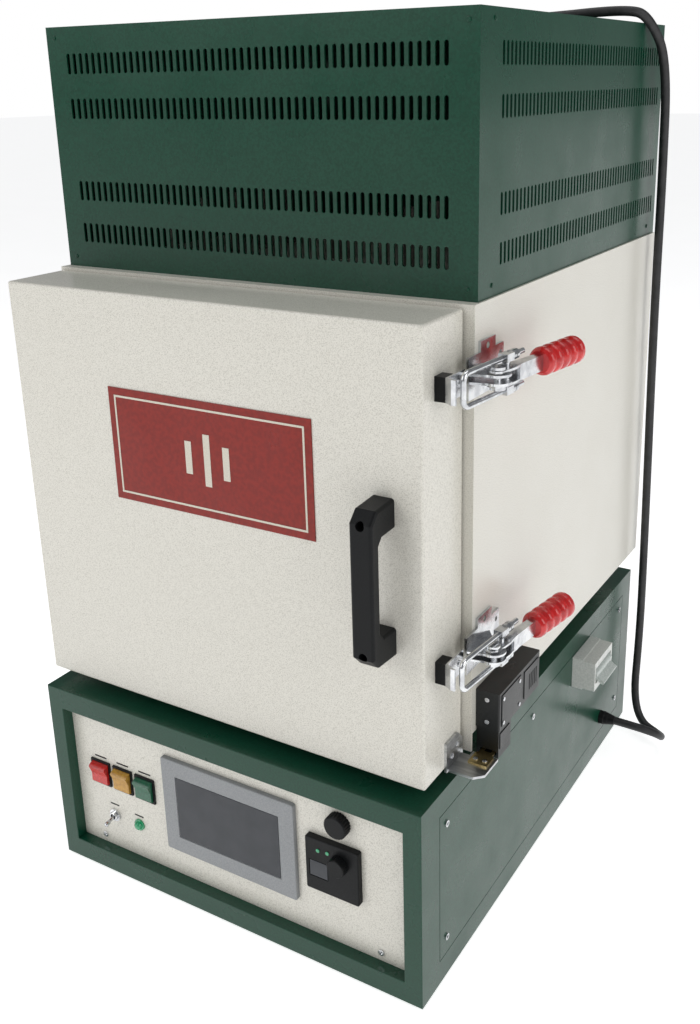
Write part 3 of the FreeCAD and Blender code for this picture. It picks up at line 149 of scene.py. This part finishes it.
GREEN_PAINT = Finish("green_gloss_paint", (0.0038, 0.0560, 0.0300), (0.0022, 0.0410, 0.0210),
                     fleck_scale=420, roughness=0.30, roughness_spread=0.07, relief_scale=520,
                     relief=0.16, coat=0.15, coat_roughness=0.12, specular=0.28)
TRAY_PAINT = Finish("green_satin_paint", (0.0070, 0.0500, 0.0270), (0.0040, 0.0380, 0.0200),
                    fleck_scale=300, roughness=0.45, relief_scale=420, relief=0.12, specular=0.3)
CREAM_PAINT = Finish("cream_speckled_paint", (0.735, 0.712, 0.640), (0.500, 0.478, 0.415),
                     fleck_scale=950, fleck_reach=0.43, fleck_edge=0.10, roughness=0.36,
                     roughness_spread=0.08, relief_scale=620, relief=0.22, coat=0.35,
                     coat_roughness=0.2)
BOARD = Finish("insulating_board", (0.80, 0.77, 0.68), (0.62, 0.58, 0.50), fleck_scale=160,
               roughness=0.92, relief_scale=240, relief=0.6)
ROPE = Finish("sealing_rope", (0.74, 0.71, 0.64), (0.50, 0.47, 0.41), fleck_scale=520,
              roughness=0.95, relief_scale=380, relief=0.9, grain=(1.0, 1.0, 3.0))
ELEMENT = Finish("element_oxide", (0.09, 0.085, 0.08), (0.16, 0.14, 0.12), fleck_scale=260,
                 roughness=0.62, relief_scale=420, relief=0.4, metallic=0.6)
BLACK_PLASTIC = Finish("black_moulding", (0.0085, 0.0092, 0.0100), (0.0050, 0.0055, 0.0060),
                       fleck_scale=800, roughness=0.42, relief_scale=1500, relief=0.3,
                       specular=0.16)
SWITCH_PLASTIC = Finish("switch_moulding", (0.0100, 0.0120, 0.0120), (0.0060, 0.0070, 0.0070),
                        fleck_scale=500, roughness=0.34, relief_scale=900, relief=0.25,
                        specular=0.35)
GREY_PLASTIC = Finish("grey_moulding", (0.27, 0.28, 0.29), (0.21, 0.22, 0.23), fleck_scale=900,
                      roughness=0.38, relief_scale=1300, relief=0.2, coat=0.2)
RUBBER = Finish("black_rubber", (0.012, 0.012, 0.012), (0.022, 0.021, 0.020), fleck_scale=120,
                roughness=0.70, relief_scale=500, relief=0.35)
CORD_RUBBER = Finish("cord_sheath", (0.0100, 0.0105, 0.0110), (0.0200, 0.0200, 0.0210),
                     fleck_scale=90, roughness=0.50, relief_scale=700, relief=0.3)
PLATED = Finish("zinc_plate", (0.74, 0.75, 0.76), (0.52, 0.53, 0.55), fleck_scale=70,
                roughness=0.20, roughness_spread=0.09, relief_scale=300, relief=0.12, metallic=1.0)
BRUSHED = Finish("brushed_steel", (0.60, 0.61, 0.62), (0.44, 0.45, 0.46), fleck_scale=180,
                 roughness=0.34, relief_scale=500, relief=0.25, metallic=1.0,
                 grain=(0.15, 1.0, 4.0))
BRASS = Finish("key_brass", (0.66, 0.52, 0.25), (0.50, 0.37, 0.16), fleck_scale=120,
               roughness=0.30, relief_scale=400, relief=0.15, metallic=1.0)
RED_GRIP = Finish("red_grip", (0.64, 0.012, 0.012), (0.50, 0.007, 0.008), fleck_scale=90,
                  roughness=0.26, relief_scale=500, relief=0.12, coat=0.5)
RED_SWITCH = Finish("red_switch", (0.62, 0.018, 0.012), (0.45, 0.010, 0.008), fleck_scale=300,
                    roughness=0.30, relief_scale=700, relief=0.15, coat=0.3)
AMBER_SWITCH = Finish("amber_switch", (0.55, 0.300, 0.035), (0.42, 0.200, 0.020),
                      fleck_scale=300, roughness=0.30, relief_scale=700, relief=0.15, coat=0.3)
GREEN_SWITCH = Finish("green_switch", (0.010, 0.120, 0.060), (0.006, 0.085, 0.040),
                      fleck_scale=300, roughness=0.30, relief_scale=700, relief=0.15, coat=0.3)
LAMP_GREEN = Finish("lamp_lens", (0.010, 0.290, 0.120), (0.006, 0.200, 0.080), fleck_scale=400,
                    roughness=0.16, relief_scale=600, relief=0.2, coat=0.8, glow=0.15)
PALE_PLASTIC = Finish("pale_moulding", (0.66, 0.67, 0.64), (0.56, 0.58, 0.55), fleck_scale=500,
                      roughness=0.36, relief_scale=900, relief=0.15, coat=0.2)
TOGGLE_PLASTIC = Finish("toggle_moulding", (0.56, 0.60, 0.57), (0.44, 0.49, 0.46),
                        fleck_scale=400, roughness=0.28, relief_scale=700, relief=0.15, coat=0.3)
SCREEN_GLASS = Finish("screen_glass", (0.030, 0.034, 0.042), (0.022, 0.026, 0.033),
                      fleck_scale=30, roughness=0.16, roughness_spread=0.05, relief_scale=90,
                      relief=0.02, coat=0.2, coat_roughness=0.06, specular=0.3)
BADGE_RED = Finish("badge_red", (0.250, 0.013, 0.006), (0.200, 0.010, 0.005), fleck_scale=200,
                   roughness=0.34, relief_scale=620, relief=0.18, specular=0.35)
BADGE_CREAM = Finish("badge_cream", (0.70, 0.66, 0.56), (0.58, 0.54, 0.45), fleck_scale=900,
                     roughness=0.40, relief_scale=620, relief=0.18)
FLOOR = Finish("pale_floor", (0.90, 0.90, 0.90), (0.87, 0.87, 0.87), fleck_scale=3,
               roughness=0.75, relief_scale=20, relief=0.01, specular=0.1, glow=0.8)

DRESS: dict[Finish, tuple[str, ...]] = {
    GREEN_PAINT: ("base_front_frame", "base_side_left", "base_side_right", "side_cover_right",
                  "base_deck", "cover_front", "cover_rear", "cover_side_right",
                  "cover_side_left", "cover_lid", "support_rails"),
    TRAY_PAINT: ("base_tray",),
    CREAM_PAINT: ("body_casing", "body_front_plate", "door_shell", "control_panel"),
    BOARD: ("lining_floor", "lining_left", "lining_right", "lining_rear", "lining_roof",
            "door_plug", "hearth_plate"),
    ROPE: ("door_seal",),
    ELEMENT: ("heating_elements", "thermocouple"),
    BLACK_PLASTIC: ("door_handle", "switch_bezels", "controller_housing", "controller_dial",
                    "port_cap", "catch_blocks", "cable_gland", "power_plug"),
    SWITCH_PLASTIC: ("safety_switch",),
    GREY_PLASTIC: ("touch_screen",),
    RUBBER: ("foot_pads",),
    PLATED: ("latch_bases", "latch_catches", "upper_latch_lever", "lower_latch_lever",
             "upper_latch_bale", "lower_latch_bale", "toggle_bush", "toggle_lever",
             "casing_screws", "body_hinge_leaves", "door_hinge_leaves"),
    BRUSHED: ("key_bracket",),
    BRASS: ("switch_key",),
    RED_GRIP: ("upper_latch_grip", "lower_latch_grip"),
    RED_SWITCH: ("red_rocker",),
    AMBER_SWITCH: ("amber_rocker",),
    GREEN_SWITCH: ("green_rocker",),
    LAMP_GREEN: ("power_lamp",),
    PALE_PLASTIC: ("breaker_body",),
    TOGGLE_PLASTIC: ("breaker_toggles",),
}


class Workshop:
    """Turns bmeshes into dressed pieces that ride on a body."""

    def __init__(self) -> None:
        """Start with no materials made."""
        self._made: dict[Finish, bpy.types.Material] = {}

    def material(self, finish: Finish) -> bpy.types.Material:
        """Find the finish's material, made once.

        Args:
            finish: The finish to look up.

        Returns:
            Its material.
        """
        if finish not in self._made:
            self._made[finish] = finish.build()
        return self._made[finish]

    def dress_frame(self) -> None:
        """Give every node of the frame its finish."""
        for finish, names in DRESS.items():
            for name in names:
                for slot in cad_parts[name].material_slots:
                    slot.material = self.material(finish)
        LOG.info("frame dressed in %d finishes", len(DRESS))

    def piece(self, name: str, shape: bmesh.types.BMesh, finish: Finish, body: str) -> bpy.types.Object:
        """Finish a bmesh as a piece.

        Args:
            name: The piece's name.
            shape: The mesh, already in its place; it is freed here.
            finish: What it is dressed in.
            body: The body that it rides on.

        Returns:
            The new object.
        """
        bmesh.ops.recalc_face_normals(shape, faces=shape.faces)
        mesh = bpy.data.meshes.new(name)
        shape.to_mesh(mesh)
        shape.free()
        made = bpy.data.objects.new(name, mesh)
        bpy.context.scene.collection.objects.link(made)
        made.data.materials.append(self.material(finish))
        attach(made, body)
        LOG.info("%s on %s", name, body)
        return made


def soft_box(size: Point, middle: Point, edge: float, segments: int = 2) -> bmesh.types.BMesh:
    """A box with every edge rounded.

    Args:
        size: Its three sides.
        middle: Its centre.
        edge: The edge radius.
        segments: Steps in each rounding.

    Returns:
        The bmesh.
    """
    shape = bmesh.new()
    bmesh.ops.create_cube(shape, size=1.0)
    bmesh.ops.scale(shape, vec=Vector(size), verts=shape.verts)
    bmesh.ops.bevel(shape, geom=list(shape.edges), offset=edge, offset_type="OFFSET",
                    segments=segments, profile=0.5, affect="EDGES", material=-1)
    bmesh.ops.translate(shape, vec=Vector(middle), verts=shape.verts)
    return shape


def disc(radius: float, height: float, edge: float, facing: Facing, foot: Point,
         sides: int = 28) -> bmesh.types.BMesh:
    """A round head standing on a surface, its outer rim rounded.

    Args:
        radius: Its radius.
        height: How proud it stands.
        edge: Rim rounding.
        facing: The way it looks.
        foot: The middle of its foot.
        sides: Corners of the circle.

    Returns:
        The bmesh.
    """
    shape = bmesh.new()
    bmesh.ops.create_cone(shape, cap_ends=True, segments=sides, radius1=radius,
                          radius2=radius, depth=height)
    bmesh.ops.translate(shape, vec=(0, 0, height / 2), verts=shape.verts)
    rim = [e for e in shape.edges if all(v.co.z > height * 0.9 for v in e.verts)]
    bmesh.ops.bevel(shape, geom=rim, offset=edge, offset_type="OFFSET", segments=2,
                    profile=0.5, affect="EDGES", material=-1)
    turn = Matrix.Translation(foot) @ Euler(facing.value).to_matrix().to_4x4()
    bmesh.ops.transform(shape, matrix=turn, verts=shape.verts)
    return shape


def in_metres(size: Point) -> Point:
    """Turn millimetres into metres.

    Args:
        size: Three values in millimetres.

    Returns:
        The same values in metres.
    """
    return tuple(value * MM for value in size)


def joined(shapes: list[bmesh.types.BMesh]) -> bmesh.types.BMesh:
    """Put several bmeshes into one and free them.

    Args:
        shapes: The bmeshes to join.

    Returns:
        One bmesh of them all.
    """
    whole = bmesh.new()
    for shape in shapes:
        spare = bpy.data.meshes.new("spare")
        shape.to_mesh(spare)
        shape.free()
        whole.from_mesh(spare)
        bpy.data.meshes.remove(spare)
    return whole


@dataclass
class SupplyCord:
    """The rubber supply cord from the gland up the side to its coil on the lid."""

    radius: float = 6.0
    coil_turns: float = 2.5
    coil_steps: int = 16
    coil_inner: float = 59.5
    coil_outer: float = 72.5
    coil_low: float = 6.2
    coil_high: float = 18.8
    coil_centre: tuple[float, float] = (-150.0, 255.0)
    lid: float = 1061.0
    length: float = 2.73

    def route(self) -> list[Point]:
        """Give the part of the cord that isn't coiled.

        Returns:
            Its points in millimetres, from the gland to the coil.
        """
        return [
            (290, 230, 60), (355, 230, 60), (366, 280, 19), (301, 310, 25),
            (297, 339, 164), (297, 334, 304), (297, 326, 444), (297, 317, 584),
            (297, 311, 724), (297, 311, 864), (297, 301, 1018), (284, 257, 1067),
            (264, 241, 1078), (150, 204, 1069), (22, 187, 1067), (-90, 183, 1067),
        ]

    def coil(self) -> list[Point]:
        """Work out the coil's turns: the outer, the inner, then up over itself.

        Returns:
            The coil's points in millimetres.
        """
        points = []
        for step in range(1, int(self.coil_turns * self.coil_steps) + 1):
            turned = step / self.coil_steps
            inward = min(max((turned - 0.75) / 0.25, 0.0), 1.0)
            upward = min(max((turned - 1.5) / 0.25, 0.0), 1.0)
            radius = self.coil_outer + (self.coil_inner - self.coil_outer) * inward
            level = self.coil_low + (self.coil_high - self.coil_low) * upward
            angle = math.radians(-90) - turned * math.tau
            points.append((self.coil_centre[0] + radius * math.cos(angle),
                           self.coil_centre[1] + radius * math.sin(angle),
                           self.lid + level))
        return points

    def tail(self) -> list[Point]:
        """Give the cord's last points.

        Returns:
            The points in millimetres from the coil to the plug.
        """
        return [(-118, 316, self.lid + 17.5), (-94, 321, self.lid + 12)]

    def build(self, shop: Workshop) -> bpy.types.Object:
        """Make the cord as one smooth curve.

        Args:
            shop: The workshop that dresses it.

        Returns:
            The curve object.
        """
        points = self.route() + self.coil() + self.tail()
        curve = bpy.data.curves.new("supply_cord", "CURVE")
        curve.dimensions = "3D"
        curve.bevel_depth = self.radius * MM
        curve.bevel_resolution = 5
        curve.use_fill_caps = True
        curve.resolution_u = 10
        spline = curve.splines.new("NURBS")
        spline.points.add(len(points) - 1)
        for point, place in zip(spline.points, points):
            point.co = (*(value * MM for value in place), 1.0)
        spline.order_u = 3
        spline.use_endpoint_u = True
        made = bpy.data.objects.new("supply_cord", curve)
        bpy.context.scene.collection.objects.link(made)
        curve.materials.append(shop.material(CORD_RUBBER))
        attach(made, "kiln")
        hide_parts("power_cord", "power_cord_coil")
        self._relief(shop)
        return made

    def _relief(self, shop: Workshop) -> None:
        """Add the tapered sleeve where the cord leaves the gland.

        Args:
            shop: The workshop that dresses it.
        """
        shape = bmesh.new()
        bmesh.ops.create_cone(shape, cap_ends=True, segments=28, radius1=8.4 * MM,
                              radius2=6.6 * MM, depth=9 * MM)
        rings = [e for e in shape.edges if abs(e.verts[0].co.z - e.verts[1].co.z) < 1e-6]
        bmesh.ops.bevel(shape, geom=rings, offset=0.5 * MM, offset_type="OFFSET", segments=2,
                        profile=0.5, affect="EDGES", material=-1)
        turn = (Matrix.Translation((0.2935, 0.230, 0.060))
                @ Euler((0, math.radians(90), 0)).to_matrix().to_4x4())
        bmesh.ops.transform(shape, matrix=turn, verts=shape.verts)
        shop.piece("gland_sleeve", shape, BLACK_PLASTIC, "kiln")


@dataclass
class DoorBadge:
    """A plain red plate with a pale border and three heat lines."""

    width: float = 276.0
    height: float = 134.0
    thickness: float = 1.2
    middle_x: float = 4.0
    middle_z: float = 607.5
    border: float = 7.0
    bar_heights: tuple[float, ...] = (38.0, 60.0, 38.0)
    bar_pitch: float = 26.0
    bar_width: float = 9.0

    def build(self, shop: Workshop) -> None:
        """Make the plate, its border and its three lines.

        Args:
            shop: The workshop that dresses them.
        """
        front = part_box("door_shell")[0][1] / MM
        plate = soft_box((self.width * MM, self.thickness * MM, self.height * MM),
                         (self.middle_x * MM, (front - self.thickness / 2) * MM,
                          self.middle_z * MM), 0.4 * MM)
        shop.piece("badge_plate", plate, BADGE_RED, "door")
        face = front - self.thickness
        inset = self.border * 1.4
        parts = []
        for side in (-1, 1):
            parts.append(self._strip(self.middle_x + side * (self.width / 2 - inset), face,
                                     self.middle_z, 2.4, self.height - inset * 2 + 2.4))
            parts.append(self._strip(self.middle_x, face,
                                     self.middle_z + side * (self.height / 2 - inset),
                                     self.width - inset * 2 - 2.4, 2.4))
        for index, height in enumerate(self.bar_heights):
            parts.append(self._strip(self.middle_x + (index - 1) * self.bar_pitch, face,
                                     self.middle_z, self.bar_width, height))
        shop.piece("badge_lines", joined(parts), BADGE_CREAM, "door")

    def _strip(self, x: float, face: float, z: float, width: float,
               height: float) -> bmesh.types.BMesh:
        """One raised line on the plate.

        Args:
            x: Its middle across the door.
            face: The plate's front face.
            z: Its middle height.
            width: How wide it is.
            height: How tall it is.

        Returns:
            The bmesh.
        """
        return soft_box((width * MM, 0.5 * MM, height * MM),
                        (x * MM, (face - 0.2) * MM, z * MM), 0.15 * MM, segments=1)


@dataclass
class PanelTrim:
    """Glass, lamps and blank marks on the control panel, in millimetres."""

    glass_size: Point = (155.0, 0.6, 87.0)
    glass_proud: float = 0.55
    window_size: Point = (24.0, 0.8, 21.0)
    window_offset: Point = (-18.0, 0.5, -5.5)
    lamp_radius: float = 2.4
    lamp_proud: float = 0.9
    lamp_spots: tuple[tuple[float, float], ...] = ((-18.0, 21.0), (-5.0, 22.0))
    rounding: float = 0.2
    label_thickness: float = 0.2
    label_height: float = 2.2
    label_rounding: float = 0.05
    label_groups: tuple[tuple[tuple[str, ...], float, float], ...] = (
        (("red_rocker", "amber_rocker", "green_rocker"), 20.0, 8.0),
        (("toggle_bush", "power_lamp"), 15.0, 5.0),
    )

    def build(self, shop: Workshop) -> None:
        """Make the screen glass, the instrument's window and lamps, and plain label strips.

        Args:
            shop: The workshop that dresses them.
        """
        low, high = (Vector(corner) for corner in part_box("touch_screen"))
        middle = (low + high) / 2
        glass = soft_box(in_metres(self.glass_size),
                         (middle.x, low.y + self.glass_proud * MM, middle.z),
                         self.rounding * MM)
        shop.piece("screen_glass", glass, SCREEN_GLASS, "kiln")
        self._instrument(shop)
        self._labels(shop)

    def _instrument(self, shop: Workshop) -> None:
        """Window and two lamps on the square instrument.

        Args:
            shop: The workshop that dresses them.
        """
        low, high = (Vector(corner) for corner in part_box("controller_housing"))
        middle = (low + high) / 2
        aside, back, below = in_metres(self.window_offset)
        window = soft_box(in_metres(self.window_size),
                          (middle.x + aside, low.y + back, middle.z + below),
                          self.rounding * MM)
        shop.piece("instrument_window", window, SCREEN_GLASS, "kiln")
        lamps = [disc(self.lamp_radius * MM, self.lamp_proud * MM, self.lamp_proud / 3 * MM,
                      Facing.FRONT, (middle.x + x * MM, low.y, middle.z + z * MM))
                 for x, z in self.lamp_spots]
        shop.piece("instrument_lamps", joined(lamps), LAMP_GREEN, "kiln")

    def _labels(self, shop: Workshop) -> None:
        """Plain printed strips over the switches, with no wording.

        Args:
            shop: The workshop that dresses them.
        """
        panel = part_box("control_panel")[0][1]
        strips = []
        for names, width, rise in self.label_groups:
            for name in names:
                low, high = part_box(name)
                strips.append(soft_box(
                    in_metres((width, self.label_thickness, self.label_height)),
                    ((low[0] + high[0]) / 2, panel - self.label_rounding * MM,
                     high[2] + rise * MM), self.label_rounding * MM, segments=1))
        shop.piece("switch_labels", joined(strips), BLACK_PLASTIC, "kiln")


@dataclass
class Fasteners:
    """Small screws, in millimetres: cover corners, catches, bracket and key."""

    head: float = 3.6
    proud: float = 1.6
    cover_scale: float = 0.7
    key_scale: float = 0.8
    side_inset: float = 30.0
    corner_inset: float = 12.0
    top_inset: float = 10.0
    catch_step: tuple[float, float] = (16.0, 34.0)
    catch_inset: float = 12.5
    catch_sheet: float = 2.0
    bracket_sheet: float = 3.0
    bracket_spots: tuple[tuple[float, float], ...] = ((14.0, 14.0), (26.0, 22.0))
    key_back: float = 8.0
    key_inset: float = 6.0

    def _heads(self, spots: list[Point], facing: Facing, scale: float = 1.0) -> bmesh.types.BMesh:
        """Screw heads with a small six-sided boss, standing on a surface.

        Args:
            spots: The middle of each foot, in metres.
            facing: The way that they look.
            scale: Size against the usual head.

        Returns:
            One bmesh of every head.
        """
        parts = []
        for spot in spots:
            parts.append(disc(self.head * scale * MM, self.proud * scale * MM, 0.5 * MM,
                              facing, spot))
            parts.append(disc(self.head * 0.5 * scale * MM, self.proud * scale * 1.25 * MM,
                              0.2 * MM, facing, spot, sides=6))
        return joined(parts)

    def build(self, shop: Workshop) -> None:
        """Make every group of screws.

        Args:
            shop: The workshop that dresses them.
        """
        corner, top, side = (value * MM for value in
                             (self.corner_inset, self.top_inset, self.side_inset))
        low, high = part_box("cover_side_right")
        sides = [(high[0], y, z) for y in (low[1] + side, high[1] - side)
                 for z in (low[2] + corner, high[2] - top)]
        shop.piece("cover_side_screws", self._heads(sides, Facing.RIGHT, self.cover_scale),
                   GREEN_PAINT, "kiln")
        low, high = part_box("cover_front")
        fronts = [(x, low[1], z) for x in (low[0] + corner, high[0] - corner)
                  for z in (low[2] + corner, high[2] - corner)]
        shop.piece("cover_front_screws", self._heads(fronts, Facing.FRONT, self.cover_scale),
                   GREEN_PAINT, "kiln")
        low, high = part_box("latch_catches")
        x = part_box("catch_blocks")[1][0] + self.catch_sheet * MM
        catches = [(x, low[1] + at * MM, z) for at in self.catch_step
                   for z in (low[2] + self.catch_inset * MM, high[2] - self.catch_inset * MM)]
        shop.piece("catch_screws", self._heads(catches, Facing.RIGHT), PLATED, "door")
        low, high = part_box("key_bracket")
        wall = [(low[0] + self.bracket_sheet * MM, low[1] + y * MM, low[2] + z * MM)
                for y, z in self.bracket_spots]
        shop.piece("bracket_screws", self._heads(wall, Facing.RIGHT), PLATED, "door")
        low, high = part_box("switch_key")
        tops = [(x, low[1] + self.key_back * MM, high[2])
                for x in (low[0] + self.key_inset * MM, high[0] - self.key_inset * MM)]
        shop.piece("key_screws", self._heads(tops, Facing.UP, self.key_scale), PLATED, "door")


@dataclass
class SwitchTrim:
    """Cover plates, ribs and screws on the door switch, in millimetres."""

    head_height: float = 35.0
    plate_proud: float = 0.9
    front_plate: Point = (0.28, 0.46, 8.0)
    rear_plate: Point = (0.77, 0.36, 12.0)
    head_plate: tuple[float, float] = (26.0, 20.0)
    rib_size: Point = (0.8, 1.6, 20.0)
    rib_count: int = 5
    rib_pitch: float = 5.0
    rib_inset: float = 12.0
    screw_inset: float = 9.0
    screw_share: float = 0.46
    side_screw: float = 2.4
    front_screw: float = 2.8

    def build(self, shop: Workshop) -> None:
        """Make the plates, the ribs and the screws.

        Args:
            shop: The workshop that dresses them.
        """
        low, high = (Vector(corner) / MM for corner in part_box("safety_switch"))
        shoulder = low.z + self.head_height
        middle_z = (shoulder + high.z) / 2
        length = high.y - low.y
        plates = [self._plate((high.x, low.y + length * at, middle_z), length * share,
                              high.z - shoulder - trim)
                  for at, share, trim in (self.front_plate, self.rear_plate)]
        plates.append(self._plate((high.x - 1.0, low.y + 17.0, (low.z + shoulder) / 2 + 3.0),
                                  *self.head_plate))
        shop.piece("switch_plates", joined(plates), SWITCH_PLASTIC, "kiln")
        ribs = [soft_box(in_metres(self.rib_size),
                         in_metres((high.x + 1.0, high.y - self.rib_inset - step * self.rib_pitch,
                                    middle_z - 2.0)), 0.25 * MM, segments=1)
                for step in range(self.rib_count)]
        shop.piece("switch_ribs", joined(ribs), SWITCH_PLASTIC, "kiln")
        side = high.x + self.plate_proud
        rows = (high.z - self.screw_inset, shoulder + 8.0)
        heads = [self._screw(self.side_screw, Facing.RIGHT, (side, low.y + along, z))
                 for along in (self.screw_inset, length * self.screw_share) for z in rows]
        heads += [self._screw(self.front_screw, Facing.FRONT, (low.x + 14.0, low.y, z))
                  for z in (high.z - 10.0, shoulder + 9.0)]
        shop.piece("switch_screws", joined(heads), PLATED, "kiln")

    def _screw(self, radius: float, facing: Facing, spot: Point) -> bmesh.types.BMesh:
        """One small screw head.

        Args:
            radius: Its radius.
            facing: The way it looks.
            spot: The middle of its foot.

        Returns:
            The bmesh.
        """
        return disc(radius * MM, 1.0 * MM, 0.3 * MM, facing, in_metres(spot))

    def _plate(self, middle: Point, length: float, height: float) -> bmesh.types.BMesh:
        """A raised plate on the switch's outer side.

        Args:
            middle: The middle of its back.
            length: How long it is, front to rear.
            height: How tall it is.

        Returns:
            The bmesh.
        """
        place = in_metres((middle[0] + self.plate_proud / 2, middle[1], middle[2]))
        return soft_box(in_metres((self.plate_proud, length, height)), place, 0.3 * MM)


@dataclass
class HeatShields:
    """Dark sheets on stand-offs inside the cover's rear and left walls, in millimetres."""

    gap: float = 12.0
    sheet: float = 1.2
    inset: float = 22.0
    stand_off: float = 4.0
    stand_off_inset: float = 15.0

    def build(self, shop: Workshop) -> None:
        """Make both sheets with their stand-offs.

        Args:
            shop: The workshop that dresses them.
        """
        low, high = (Vector(corner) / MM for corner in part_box("cover_rear"))
        side_low, side_high = (Vector(corner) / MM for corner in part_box("cover_side_left"))
        middle_z = (low.z + high.z) / 2
        tall = high.z - low.z - self.inset * 2
        wide = high.x - low.x - self.inset * 3
        deep = side_high.y - side_low.y - self.inset * 3
        middle_y = (side_low.y + side_high.y) / 2
        inner_left = side_high.x
        rear = [soft_box(in_metres((wide, self.sheet, tall)),
                         in_metres((0.0, low.y - self.gap, middle_z)), 0.4 * MM)]
        rear += [self._stand_off(Facing.FRONT, (x, low.y, z))
                 for x in self._ends(0.0, wide) for z in self._ends(middle_z, tall)]
        shop.piece("rear_heat_shield", joined(rear), TRAY_PAINT, "kiln")
        left = [soft_box(in_metres((self.sheet, deep, tall)),
                         in_metres((inner_left + self.gap, middle_y, middle_z)), 0.4 * MM)]
        left += [self._stand_off(Facing.RIGHT, (inner_left, y, z))
                 for y in self._ends(middle_y, deep) for z in self._ends(middle_z, tall)]
        shop.piece("left_heat_shield", joined(left), TRAY_PAINT, "kiln")

    def _ends(self, middle: float, length: float) -> tuple[float, float]:
        """Where the two stand-offs sit along one side of a sheet.

        Args:
            middle: The sheet's middle along that side.
            length: The sheet's length along that side.

        Returns:
            The lower and the upper place.
        """
        half = length / 2 - self.stand_off_inset
        return middle - half, middle + half

    def _stand_off(self, facing: Facing, spot: Point) -> bmesh.types.BMesh:
        """One stand-off between a wall and its sheet.

        Args:
            facing: The way that it points.
            spot: The middle of its foot.

        Returns:
            The bmesh.
        """
        return disc(self.stand_off * MM, self.gap * MM, 0.4 * MM, facing, in_metres(spot))


@dataclass
class Studio:
    """Pale floor, soft lights and the camera."""

    eye: Point = (0.7369, -1.1842, 0.9964)
    azimuth: float = 30.47
    drop: float = 18.15
    roll: float = -0.97
    lens: float = 38.15
    shift: tuple[float, float] = (-0.0374, -0.0738)
    lights: list[tuple[str, Point, Point, float, float]] = field(default_factory=lambda: [
        ("key_light", (-1.7, -2.6, 2.4), (0.0, 0.0, 0.5), 40.0, 2.4),
        ("side_light", (3.0, -0.6, 1.9), (0.0, 0.0, 0.6), 30.0, 2.2),
        ("top_light", (0.2, 0.4, 3.4), (0.0, 0.0, 0.4), 26.0, 2.6),
    ])

    def build(self, shop: Workshop) -> None:
        """Set the camera first, then the floor and the lights.

        Args:
            shop: The workshop that dresses the floor.
        """
        self._camera()
        self._floor(shop)
        for name, place, aim, power, size in self.lights:
            self._light(name, place, aim, power, size)
        world = bpy.data.worlds.new("studio")
        world.use_nodes = True
        nodes, links = world.node_tree.nodes, world.node_tree.links
        sky = nodes["Background"]
        sky.inputs["Color"].default_value = (0.95, 0.97, 1.0, 1.0)
        sky.inputs["Strength"].default_value = 0.24
        wall = nodes.new("ShaderNodeBackground")
        wall.inputs["Color"].default_value = (1.0, 1.0, 1.0, 1.0)
        wall.inputs["Strength"].default_value = 1.0
        path = nodes.new("ShaderNodeLightPath")
        mix = nodes.new("ShaderNodeMixShader")
        links.new(path.outputs["Is Camera Ray"], mix.inputs[0])
        links.new(sky.outputs["Background"], mix.inputs[1])
        links.new(wall.outputs["Background"], mix.inputs[2])
        links.new(mix.outputs["Shader"], nodes["World Output"].inputs["Surface"])
        bpy.context.scene.world = world
        bpy.context.scene.view_settings.view_transform = "Standard"

    def _camera(self) -> None:
        """Add the camera and make it the scene's."""
        data = bpy.data.cameras.new("view")
        data.lens = self.lens
        data.sensor_width = 36.0
        data.shift_x, data.shift_y = self.shift
        camera = bpy.data.objects.new("view", data)
        bpy.context.scene.collection.objects.link(camera)
        aim = Euler((math.radians(90 - self.drop), 0, math.radians(self.azimuth))).to_matrix()
        roll = Euler((0, 0, math.radians(self.roll))).to_matrix()
        camera.matrix_world = Matrix.Translation(self.eye) @ (aim @ roll).to_4x4()
        bpy.context.scene.camera = camera

    def _floor(self, shop: Workshop) -> None:
        """Lay a wide pale floor just under the feet.

        Args:
            shop: The workshop that dresses it.
        """
        shape = bmesh.new()
        bmesh.ops.create_grid(shape, x_segments=2, y_segments=2, size=30.0)
        mesh = bpy.data.meshes.new("floor")
        shape.to_mesh(mesh)
        shape.free()
        floor = bpy.data.objects.new("floor", mesh)
        bpy.context.scene.collection.objects.link(floor)
        floor.data.materials.append(shop.material(FLOOR))

    def _light(self, name: str, place: Point, aim: Point, power: float, size: float) -> None:
        """Add one soft area light.

        Args:
            name: Its name.
            place: Where it stands.
            aim: What it looks at.
            power: Its strength in watts.
            size: The side of its square.
        """
        data = bpy.data.lights.new(name, "AREA")
        data.energy = power
        data.size = size
        light = bpy.data.objects.new(name, data)
        bpy.context.scene.collection.objects.link(light)
        heading = Vector(aim) - Vector(place)
        turn = heading.to_track_quat("-Z", "Y").to_matrix().to_4x4()
        light.matrix_world = Matrix.Translation(place) @ turn


def main() -> None:
    """Build the view, dress the frame and add every piece in order."""
    logging.basicConfig(level=logging.INFO, format="%(name)s: %(message)s")
    shop = Workshop()
    Studio().build(shop)
    SupplyCord().build(shop)
    shop.dress_frame()
    DoorBadge().build(shop)
    PanelTrim().build(shop)
    Fasteners().build(shop)
    SwitchTrim().build(shop)
    HeatShields().build(shop)


if __name__ == "__main__":
    main()
